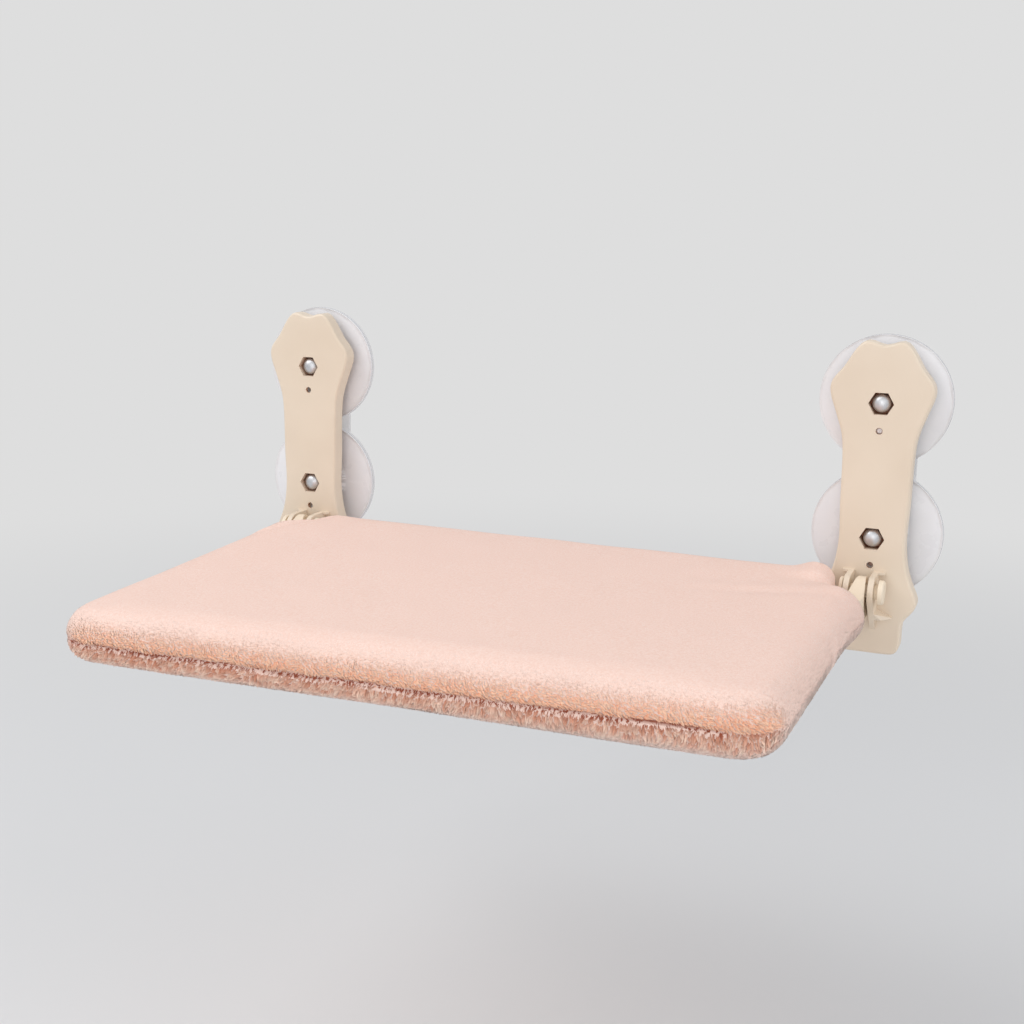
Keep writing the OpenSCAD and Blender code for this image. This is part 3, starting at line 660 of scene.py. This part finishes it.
# Random points on a mesh's triangles, each with its skin normal; density is tufts to a square metre
def scatter(mesh, density, seed):
    generator = np.random.default_rng(seed)
    mesh.calc_loop_triangles()
    corners = np.empty(len(mesh.loop_triangles) * 3, np.int32)
    mesh.loop_triangles.foreach_get("vertices", corners)
    corners = corners.reshape(-1, 3)
    points, normals = pointsOf(mesh), normalsOf(mesh)
    a, b, c = (points[corners[:, k]] for k in range(3))
    area = np.linalg.norm(np.cross(b - a, c - a), axis=1) / 2
    centre = (a + b + c) / 3
    facing = normals[corners].mean(1)
    count = np.floor(area * density(centre, facing) + generator.random(len(area))).astype(int)
    chosen = np.repeat(np.arange(len(area)), count)
    u, v = generator.random((2, len(chosen)))
    flip = u + v > 1
    u, v = np.where(flip, 1 - u, u), np.where(flip, 1 - v, v)
    weight = np.stack([1 - u - v, u, v], 1)[:, :, None]
    root = (points[corners[chosen]] * weight).sum(1)
    return root, unit((normals[corners[chosen]] * weight).sum(1))


# The nearest of the jittered points, one to each cell of a grid
def nearestSeed(points, cell, seed):
    base = np.floor(points / cell).astype(np.int64)
    best = np.full(len(points), np.inf)
    found = np.zeros_like(points)
    for dx in (-1, 0, 1):
        for dy in (-1, 0, 1):
            for dz in (-1, 0, 1):
                place = base + [dx, dy, dz]
                mix = (place * [73856093, 19349663, 83492791]).sum(1) + seed * 2654435761
                jitter = np.stack([((mix * k) % 65521) / 65521 for k in (1664525, 22695477, 1103515245)], 1)
                centre = (place + jitter) * cell
                distance = np.linalg.norm(points - centre, axis=1)
                nearer = distance < best
                best = np.where(nearer, distance, best)
                found = np.where(nearer[:, None], centre, found)
    return found


def addValues(mesh, label, values):
    attribute = mesh.attributes.new(label, "FLOAT", "POINT")
    attribute.data.foreach_set("value", np.asarray(values, np.float32).ravel())


# Closed tufts: a triangle at the root, in bent ones a second half way along, and a point at the tip;
# t holds each tuft's places, directions and values
def tuftMesh(name, t, bent):
    count = len(t["root"])
    axis = unit(t["tip"] - t["root"])
    side = unit(np.cross(axis, np.where(np.abs(axis[:, 2:]) < 0.9, [[0, 0, 1.0]], [[1.0, 0, 0]])))
    other = np.cross(axis, side)
    turn = np.random.default_rng(count).uniform(0, 2 * np.pi, count)
    levels = [(t["root"], 1.0, 0.0), (t["middle"], 0.85, 0.55)] if bent else [(t["root"], 1.0, 0.0)]
    soft = t["softness"][:, None]
    layers, along, shades = [], [], []
    for centre, share, place in levels:
        for k in range(3):
            angle = turn + 2 * np.pi * k / 3
            spread = side * np.cos(angle)[:, None] + other * np.sin(angle)[:, None]
            layers.append(centre + spread * (share * t["width"] / 2)[:, None])
            along.append(np.full(count, place))
            shades.append(unit(spread * (1 - soft) + t["shade"] * soft))
    layers.append(t["tip"])
    along.append(np.ones(count))
    shades.append(unit(t["shade"] * soft + axis * (1 - soft)))
    rows = len(layers)
    pattern = [[2, 1, 0]]
    for k in range(3):
        n = (k + 1) % 3
        if bent:
            pattern += [[k, n, 3 + n], [k, 3 + n, 3 + k], [3 + k, 3 + n, 6]]
        else:
            pattern += [[k, n, 3]]
    faces = (np.arange(count)[:, None, None] * rows + np.array(pattern)[None]).reshape(-1, 3)
    piece = meshOf(name, np.stack(layers, 1).reshape(-1, 3), faces)
    addValues(piece.data, "along", np.stack(along, 1))
    for label in ("tint", "edge", "seam"):
        addValues(piece.data, label, np.repeat(t[label][:, None], rows, 1))
    piece.data.normals_split_custom_set_from_vertices(np.stack(shades, 1).reshape(-1, 3))
    return piece


# Where the skin is bare: under the zip's tape, and behind the arms in the notches
def bareSkin(points, b):
    halfLong, middle, halfWide, height = b["zipTape"]
    along, across = np.abs(points[:, 0]), np.abs(points[:, 1] - middle)
    tape = (along < halfLong) & (across < halfWide) & (points[:, 2] < height)
    fromX, toX, fromZ, toZ = b["armPocket"]
    behind = (points[:, 1] > b["notchY"] - b["armReach"]) & (points[:, 2] > fromZ) & (points[:, 2] < toZ)
    arm = (along > fromX) & (along < toX) & behind
    return tape | arm


# How far round the edge a point is: 1 at the seam, 0 on the flat, by its height over or under the seam
def edgeShare(points, b):
    return 1 - smoothStep(0.2, 1.0, np.abs(points[:, 2] - seamHeight(points, b)) / b["edgeRadius"])


def topNap(root):
    swirl = 0.9 * waveNoise(root[:, :2], 0.055, 21)
    return np.column_stack([np.sin(swirl), -np.cos(swirl), np.zeros(len(root))])


# Near the seam the pile stands as on a smooth round edge, as if there were no crease
def roundNormal(points, normal, b):
    height = points[:, 2] - seamHeight(points, b)
    rise = np.clip(height / b["edgeRadius"], -1, 1)
    smooth = np.column_stack([unit(normal[:, :2]) * np.sqrt(1 - rise * rise)[:, None], rise])
    near = np.exp(-(height / b["roundBand"]) ** 4)[:, None]
    return unit(normal * (1 - near) + smooth * near)


# Over the seam the pile lies along the edge and a little down; under it, it hangs, slanted at the left end
def edgeNap(root, outward, side):
    tangent = np.column_stack([-outward[:, 1], outward[:, 0], np.zeros(len(root))])
    swirl = 0.35 * waveNoise(root, 0.02, 23)
    if side == "upper":
        across, down = 1.0, 0.5 + swirl
    else:
        across, down = swirl - 1.2 * (1 - smoothStep(-0.2, 0.16, root[:, 0])), np.ones(len(root))
    return tangent * np.reshape(across, (-1, 1)) - np.column_stack([0 * down, 0 * down, down])


# The skin's normal, tipped as if small lumps of the given size stood on it
def lumpyNormal(root, normal, size, amount):
    step = size * 0.05
    slopes = [waveNoise(root + way, size, 41, 14) - waveNoise(root - way, size, 41, 14)
              for way in np.eye(3) * step]
    slope = np.stack(slopes, 1) * size / (2 * step) / (2 * np.pi)
    slope -= normal * (slope * normal).sum(1)[:, None]
    return unit(normal - slope * amount[:, None])


# Pile over one side of the seam: short on the flat, longer, more slanted and clumped towards the front edge
def growPile(name, skin, b, p, side, flat, seed):
    up = 1 if side == "upper" else -1
    own = p[side]

    def region(centre, facing):
        height = (centre[:, 2] - seamHeight(centre, b)) * up
        level = (facing[:, 2] * up > 0.9) & (height > 0.5 * b["edgeRadius"])
        if flat:
            return own["flatDensity"] * level
        ahead = smoothStep(0.2, 0.75, -facing[:, 1])
        return own["edgeDensity"] * (0.6 + 0.4 * ahead) * ((height > 0) & ~level)

    root, normal = scatter(skin, region, seed)
    keep = ~bareSkin(root, b)
    root, normal = root[keep], normal[keep]
    if not flat:
        normal = roundNormal(root, normal, b)
    generator = np.random.default_rng(seed + 100)
    outward = unit(normal[:, :2])
    ahead = smoothStep(*p["woolFrom"], outward @ np.array(p["woolWay"]))
    wool = edgeShare(root, b) * (p["sideShare"] + (1 - p["sideShare"]) * ahead)
    crease = creaseShare(root, b, b["creaseWidth"])

    def between(label):
        return own[label][0] + (own[label][1] - own[label][0]) * wool

    way = topNap(root) * (1 - wool[:, None]) + edgeNap(root, outward, side) * wool[:, None]
    way = unit(way - normal * (way * normal).sum(1)[:, None])
    stray = generator.normal(size=root.shape) * own["stray"]
    vary = 1 + 0.2 * generator.normal(size=len(root)).clip(-2, 2)
    length = between("length") * (1 - 0.5 * crease) * vary
    lean = between("lean")[:, None]
    first = unit(normal + way * lean + stray)
    second = unit(first + way * 1.2 * lean + stray)
    start = root - normal * 0.0004
    middle = start + first * length[:, None] * 0.55
    tip = middle + second * length[:, None] * 0.5
    clump = nearestSeed(root * own["stretch"], own["clump"], seed) / own["stretch"]
    toward = clump - root
    toward -= normal * (toward * normal).sum(1)[:, None]
    toward *= wool[:, None] * own["gather"]
    clumpShade = np.mod(np.sin(clump @ [12989.8, 78233.0, 37719.0]) * 43758.5453, 1)
    shade = own["clumpShade"] * clumpShade + (1 - own["clumpShade"]) * generator.random(len(root))
    # red is painted deep red brown on the tufts: painted shade in the gap beside the hinge, and the roots'
    # red with painted shade in fold valleys and under the seam's lip
    x, y, radius, share = lobe["blush"]
    red = share * np.exp(-((root[:, 0] - x) ** 2 + (root[:, 1] - y) ** 2) / radius ** 2)
    if flat and side == "upper":
        red += sum(fold["red"] * foldPlaces(root, fold)[0] for fold in folds.values())
    if side == "lower":
        red += p["underSeam"] * ahead * creaseShare(root, b, 3 * p["seamLine"])
    tufts = {
        "root": start, "middle": middle + toward * 0.4, "tip": tip + toward,
        "shade": lumpyNormal(root, normal, own["clump"] * 1.6, own["lump"] * wool),
        "softness": between("softness"), "tint": shade, "edge": wool ** 0.75,
        "width": between("width") * (1 + 0.25 * generator.normal(size=len(root)).clip(-2, 2)),
        "seam": creaseShare(root, b, p["seamLine"]) * smoothStep(0.1, 0.4, wool) + red,
    }
    triangles = 4 if flat else 10
    pieces = math.ceil(len(root) * triangles / p["mostTriangles"])
    made = []
    for number, chosen in enumerate(np.array_split(np.argsort(root[:, 0]), pieces), 1):
        share = {key: value[chosen] for key, value in tufts.items()}
        made.append(tuftMesh(name + str(number), share, not flat))
    return made


# Pile fibre: redder at the root and pale at the tip; at the edge it runs from a dark to a light shade by the
# tuft's tint, and it is painted deep red brown along the seam, in fold valleys and in the hinge gap: partly
# the roots' red, partly painted shade
def plushFibre(name, topStops, darkStops, lightStops, redAndShadeColour, sheen):
    material, tree, shader = newMaterial(name)
    along, tint, edge, seam = (carried(tree, label) for label in ("along", "tint", "edge", "seam"))
    top, dark, light = (ramp(tree, along, list(zip((0.0, 0.5, 1.0), stops)))
                        for stops in (topStops, darkStops, lightStops))
    change = node(tree, "HueSaturation")
    value = node(tree, "MapRange", clamp=True)
    value.inputs["To Min"].default_value = 0.975
    value.inputs["To Max"].default_value = 1.02
    feed(value, "Value", tint)
    feed(change, "Value", value.outputs["Result"])
    fibre = mixColours(tree, edge, top, mixColours(tree, tint, dark, light))
    feed(change, "Color", fibre)
    feed(shader, "Base Color", mixColours(tree, seam, change.outputs["Color"], redAndShadeColour))
    shader.inputs["Roughness"].default_value = 0.85
    shader.inputs["Sheen Weight"].default_value = sheen
    shader.inputs["Sheen Roughness"].default_value = 0.5
    shader.inputs["Specular IOR Level"].default_value = 0.2
    return material


# The knitted ground under the pile, painted darker red in the seam: partly the roots' red, partly painted
# shade of the crease
def plushBacking(name, low, high, redAndShadeColour):
    material, tree, shader = newMaterial(name)
    knit = ramp(tree, noise(tree, 700, 3), [(0.3, low), (0.7, high)])
    feed(shader, "Base Color", mixColours(tree, carried(tree, "seam"), knit, redAndShadeColour))
    bumpInto(tree, shader, noise(tree, 1400, 3), 0.5, 0.0006)
    shader.inputs["Roughness"].default_value = 0.95
    return material


# Deep red brown of the seam, fold valleys and hinge gap: partly the fibres' red roots, partly painted shade
seamRedAndShadeColour = linear(158, 84, 62)
paleTop = (linear(247, 218, 206), linear(250, 228, 218), linear(252, 236, 228))
upperPile = plushFibre("upperPile", paleTop,
                       (linear(244, 148, 112), linear(255, 182, 146), linear(255, 200, 168)),
                       (linear(255, 180, 142), linear(255, 208, 177), linear(255, 221, 194)), seamRedAndShadeColour, 0.08)
# The lower pile's dark ramp is the wool's own colour deepened by painted shade of the downward band and of
# the gaps between clumps, and its paler light ramp is a painted highlight on the clumps; each clump takes a
# random mix of the two
lowerPile = plushFibre("lowerPile", paleTop,
                       (linear(184, 106, 78), linear(222, 148, 118), linear(238, 178, 150)),
                       (linear(238, 182, 154), linear(255, 220, 198), linear(255, 230, 210)), seamRedAndShadeColour, 0.05)
plushGround = plushBacking("plushGround", linear(240, 204, 188), linear(246, 218, 206), seamRedAndShadeColour)


# A copy of a CAD node with its doubles merged and, where an angle in degrees is given, its flat faces joined
def mergedCopy(source, name, distance, flat=None):
    piece = linkObject(name, nodes[source].data.copy())
    work = bmesh.new()
    work.from_mesh(piece.data)
    bmesh.ops.remove_doubles(work, verts=work.verts, dist=distance)
    if flat:
        bmesh.ops.dissolve_limit(work, angle_limit=math.radians(flat), verts=work.verts, edges=work.edges,
                                 delimit={"NORMAL"})
    work.to_mesh(piece.data)
    work.free()
    return piece


# The foam follows the cover: a finer copy of the CAD foam, a little smaller, with the same tilt and folds
def makeFoam(b):
    foam = mergedCopy("foam_pad", "foamCore", 1e-5)
    remesh(foam, b["foamVoxel"])
    points, normals = pointsOf(foam.data), normalsOf(foam.data)
    setPoints(foam.data, shapeSkin(points - normals * b["foamInset"], normals, b, 0.0))
    foam.data.shade_smooth()
    return foam


def finish(piece, source, body, material):
    dress(piece, material)
    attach(piece, body)
    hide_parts(source)


foamCore = makeFoam(bed)
finish(foamCore, "foam_pad", "bed", foamBody)
cover = makeCover(bed)
finish(cover, "plush_cover", "bed", plushGround)
pileParts = (
    ("pileTop", "upper", True, 31),
    ("pileUnder", "lower", True, 32),
    ("pileUpperEdge", "upper", False, 33),
    ("pileLowerEdge", "lower", False, 34),
)
skin = pointsOf(cover.data)
# The skin is painted deep red along the seam: the roots' red and painted shade of the crease
addValues(cover.data, "seam", creaseShare(skin, bed, pile["seamLine"]) * edgeShare(skin, bed))
for label, side, flat, seed in pileParts:
    for tufts in growPile(label, cover.data, bed, pile, side, flat, seed):
        dress(tufts, upperPile if side == "upper" else lowerPile)
        tufts.parent = cover
        print(tufts.name, len(tufts.data.polygons), "triangles")


# A merged copy of a CAD node with its sharp edges rounded
def finerCopy(source, name, rounding):
    piece = mergedCopy(source, name, 2e-6, 0.6)
    modifier = piece.modifiers.new("roundedEdges", "BEVEL")
    modifier.width = rounding
    modifier.segments = 2
    modifier.limit_method = "ANGLE"
    modifier.angle_limit = math.radians(32)
    modifier.use_clamp_overlap = True
    even = piece.modifiers.new("evenShading", "WEIGHTED_NORMAL")
    even.mode = "FACE_AREA_WITH_ANGLE"
    even.keep_sharp = False
    piece.data.shade_smooth()
    applyModifiers(piece)
    return piece


cups = {
    "x": 0.2375,
    "z": 0.05,
    "pegDrop": 0.0198,
    "plateFront": -0.028,
    "pocketFloor": -0.0154,
    "pocketReach": 0.0097,      # metres from the cup's axis that the pocket's walls reach
    "holeReach": 0.0034,
    "padLip": (0.0472, 0.0494, 0.0485),     # the pad's lip: inside, outside, and outside made thinner
    "padWeb": 0.0035,
    "lipShare": 0.04,           # of its height that the lip keeps
    "discGrow": (0.04, 0.0465, 0.0013),   # the disc is wider by the last of these past the second
    "discFront": -0.006,
    "pegEnd": (0.003, -0.015),            # radius round the peg's end, and the y that the end is past
    # pegShade is how much painted shade, a brown, the ends of the deeper pegs take
    "pegShade": 0.8,
    "pegWide": {"upperRight": 1.36, "lowerRight": 1.14, "upperLeft": 1.14, "lowerLeft": 1.14},
    "pegSink": {"upperRight": 0.001, "lowerRight": 0.004, "upperLeft": 0.004, "lowerLeft": 0.004},
    "nutRadius": 0.0068,
    "nutTop": 0.0007,           # how far the dome's top lies under the plate's front
    "nutDome": 0.0042,
}


# Distance in the window's plane from the nearest of a list of axes, each an x and a z
def nearAxis(points, axes):
    return np.min([np.hypot(points[:, 0] - x, points[:, 2] - z) for x, z in axes], axis=0)


# The walls of nut pockets and peg holes are marked for painted shade, a darker brown
def markPockets(mesh, c):
    points = pointsOf(mesh)
    axes = [(side * c["x"], up * c["z"]) for side in (-1, 1) for up in (-1, 1)]
    holes = [(x, z - c["pegDrop"]) for x, z in axes]
    deep = smoothStep(c["plateFront"] + 0.0002, c["plateFront"] + 0.0009, points[:, 1])
    inside = (nearAxis(points, axes) < c["pocketReach"]) | (nearAxis(points, holes) < c["holeReach"])
    addValues(mesh, "pocket", deep * inside)


# The pad's lip made thinner and lower: its outer face moves in, and its height shrinks
def slimLip(mesh, c):
    points = pointsOf(mesh)
    inner, outer, slim = c["padLip"]
    for side in (-1, 1):
        for up in (-1, 1):
            axis = np.array([side * c["x"], up * c["z"]])
            way = points[:, [0, 2]] - axis
            reach = np.hypot(*way.T)
            own = (np.abs(reach - (inner + outer) / 2) < 0.0013) & (np.abs(way[:, 0]) < 0.06)
            closer = inner + (reach - inner) * (slim - inner) / (outer - inner)
            wanted = np.where(reach > inner + 0.0003, closer, reach)
            moved = axis + way * (wanted / np.maximum(reach, 1e-9))[:, None]
            points[:, [0, 2]] = np.where(own[:, None], moved, points[:, [0, 2]])
            high = own & (points[:, 1] < -c["padWeb"] - 0.0002)
            lower = -c["padWeb"] + (points[:, 1] + c["padWeb"]) * c["lipShare"]
            points[:, 1] = np.where(high, lower, points[:, 1])
    setPoints(mesh, points)


# The disc's rim grows out over the pad's lip and is flat, and the end of its peg is wider and further in;
# the peg ends of all but the upper right disc are marked for painted shade, a brown, as in a deep hole
def shapeDisc(mesh, c, place):
    points = pointsOf(mesh)
    axis = np.array([c["x"] * (1 if "Right" in place else -1), c["z"] * (1 if "upper" in place else -1)])
    way = points[:, [0, 2]] - axis
    reach = np.hypot(*way.T)
    low, high, more = c["discGrow"]
    grown = more * smoothStep(low, high, reach)
    points[:, [0, 2]] += way / np.maximum(reach, 1e-9)[:, None] * grown[:, None]
    points[:, 1] = np.where(reach > low, np.maximum(points[:, 1], c["discFront"]), points[:, 1])
    foot = axis - [0, c["pegDrop"]]
    way = points[:, [0, 2]] - foot
    near, past = c["pegEnd"]
    peg = (np.hypot(*way.T) < near) & (points[:, 1] < past)
    points[:, [0, 2]] = np.where(peg[:, None], foot + way * c["pegWide"][place], points[:, [0, 2]])
    points[:, 1] = np.where(peg, points[:, 1] + c["pegSink"][place], points[:, 1])
    addValues(mesh, "pocket", 0.0 * reach if place == "upperRight" else np.where(peg, c["pegShade"], 0.0))
    setPoints(mesh, points)


# A domed nut: a cylinder on the pocket's floor under a low dome, a quarter ellipse turned round the axis
def makeNut(name, c, side, up):
    top = c["plateFront"] + c["nutTop"]
    angle = np.radians(np.linspace(0, 86, 18))
    reach = np.concatenate([[0.5, 0.93, 1.0], np.cos(angle)]) * c["nutRadius"]
    depth = np.concatenate([[c["pocketFloor"]] * 2, [c["pocketFloor"] - 0.0004],
                            top + c["nutDome"] * (1 - np.sin(angle))])
    turn = np.linspace(0, 2 * np.pi, 64, endpoint=False)
    x, z = side * c["x"], up * c["z"]
    rings = [np.column_stack([x + r * np.cos(turn), np.full(len(turn), y), z + r * np.sin(turn)])
             for r, y in zip(reach, depth)]
    return closedLoft(name, rings, [x, c["pocketFloor"], z], [x, top, z])


def camel(name):
    first, *rest = name.split("_")
    return first + "".join(word.capitalize() for word in rest)


# Each row: start of the node's name, edge rounding in metres, body, slot, finish
finerPieces = (
    ("bracket_plate", 0.0006, "brackets", "plate_cream", creamPlate),
    ("suction_pad", 0.0004, "brackets", "pad_clear", padVinyl),
    ("suction_disc", 0.0008, "brackets", "disc_white", whiteDisc),
    ("pivot_pin", 0.0006, "brackets", "pin_cream", creamPin),
    ("pin_cap", 0.0006, "brackets", "pin_cream", creamPin),
    ("hinge_arm", 0.0012, "bed", "arm_cream", creamArm),
    ("zip_slider", 0.0003, "slider", "zip_metal", zipMetal),
    ("zip_pull", 0.0003, "pull", "zip_metal", zipMetal),
)
for start, rounding, body, slot, material in finerPieces:
    for source in sorted(n for n in nodes if n.startswith(start)):
        piece = finerCopy(source, camel(source), rounding)
        if start == "bracket_plate":
            markPockets(piece.data, cups)
        if start == "suction_pad":
            slimLip(piece.data, cups)
        if start == "suction_disc":
            shapeDisc(piece.data, cups, camel(source.replace("suction_disc_", "")))
        finish(piece, source, body, material)
for side, sideName in ((-1, "left"), (1, "right")):
    for up, upName in ((-1, "lower"), (1, "upper")):
        source = "cap_nut_" + upName + "_" + sideName
        finish(makeNut(camel(source), cups, side, up), source, "brackets", brightNut)
print("rigid pieces are rounded and finished")


room = {
    "floorDrop": 0.45,    # metres below the origin
    "floorSize": 14.0,
    "floorColour": (222, 222, 222),
    "floorFade": (0.5, 2.1),    # metres from the middle over which the floor turns into the backdrop
    "worldColour": (236, 238, 242),
    "worldStrength": 0.66,
    "target": (0, -0.2, 0),     # where the lamps point
    "lamps": {                  # place, side in metres and watts
        "keyLamp": ((-1.4, -1.1, 1.75), 1.8, 30),
        "fillLamp": ((1.9, -0.5, 0.9), 1.6, 13),
        "frontLamp": ((0.3, -2.1, 0.1), 1.4, 8),
    },
}


# The world lights the object, and shows a plain pale colour to the camera and in gloss and glass
def makeWorld(r):
    world = bpy.data.worlds.new("studio")
    bpy.context.scene.world = world
    world.use_nodes = True
    tree = world.node_tree
    tree.nodes.clear()
    output = node(tree, "OutputWorld")
    light = node(tree, "Background", Color=linear(*r["worldColour"]), Strength=r["worldStrength"])
    shown = node(tree, "Background", Color=linear(*r["floorColour"]))
    path = node(tree, "LightPath").outputs
    seen = maths(tree, "MAXIMUM", path["Is Camera Ray"], path["Is Glossy Ray"])
    mix = node(tree, "MixShader")
    feed(mix, "Fac", maths(tree, "MAXIMUM", seen, path["Is Transmission Ray"]))
    feed(mix, 1, light.outputs[0])
    feed(mix, 2, shown.outputs[0])
    feed(output, "Surface", mix.outputs[0])


# The floor turns from paint near the object into the backdrop's glow, by distance from the middle
def makeFloor(r):
    half = r["floorSize"] / 2
    corners = np.array([[-half, -half, 0], [half, -half, 0], [half, half, 0], [-half, half, 0]])
    floor = meshOf("studioFloor", corners - [0, 0, r["floorDrop"]], [[0, 1, 2, 3]], smooth=False)
    material, tree, shader = newMaterial("floorPaint")
    shader.inputs["Base Color"].default_value = linear(*r["floorColour"])
    shader.inputs["Roughness"].default_value = 0.9
    glow = node(tree, "Emission", Color=linear(*r["floorColour"]))
    place = node(tree, "TexCoord")
    reach = node(tree, "VectorMath", operation="LENGTH")
    far = node(tree, "MapRange", clamp=True, interpolation_type="SMOOTHSTEP")
    far.inputs["From Min"].default_value, far.inputs["From Max"].default_value = r["floorFade"]
    path = node(tree, "LightPath").outputs
    mix = node(tree, "MixShader")
    feed(reach, 0, place.outputs["Object"])
    feed(far, "Value", reach.outputs["Value"])
    feed(mix, "Fac", maths(tree, "MULTIPLY", far.outputs["Result"], path["Is Camera Ray"]))
    feed(mix, 1, shader.outputs["BSDF"])
    feed(mix, 2, glow.outputs["Emission"])
    output = next(n for n in tree.nodes if n.bl_idname == "ShaderNodeOutputMaterial")
    feed(output, "Surface", mix.outputs[0])
    dress(floor, material)


# A square lamp at a place, facing the target
def makeLamp(name, r):
    place, size, power = r["lamps"][name]
    data = bpy.data.lights.new(name, "AREA")
    data.shape, data.size, data.energy = "SQUARE", size, power
    away = np.array(place, float) - np.array(r["target"], float)
    away /= np.linalg.norm(away)
    side = np.cross([0.0, 0.3, 1.0], away)
    side /= np.linalg.norm(side)
    linkObject(name, data).matrix_world = placed(place, side, np.cross(away, side), away)


makeWorld(room)
makeFloor(room)
for name in room["lamps"]:
    makeLamp(name, room)
print("studio ready")

bpy.context.scene.view_settings.view_transform = "Standard"
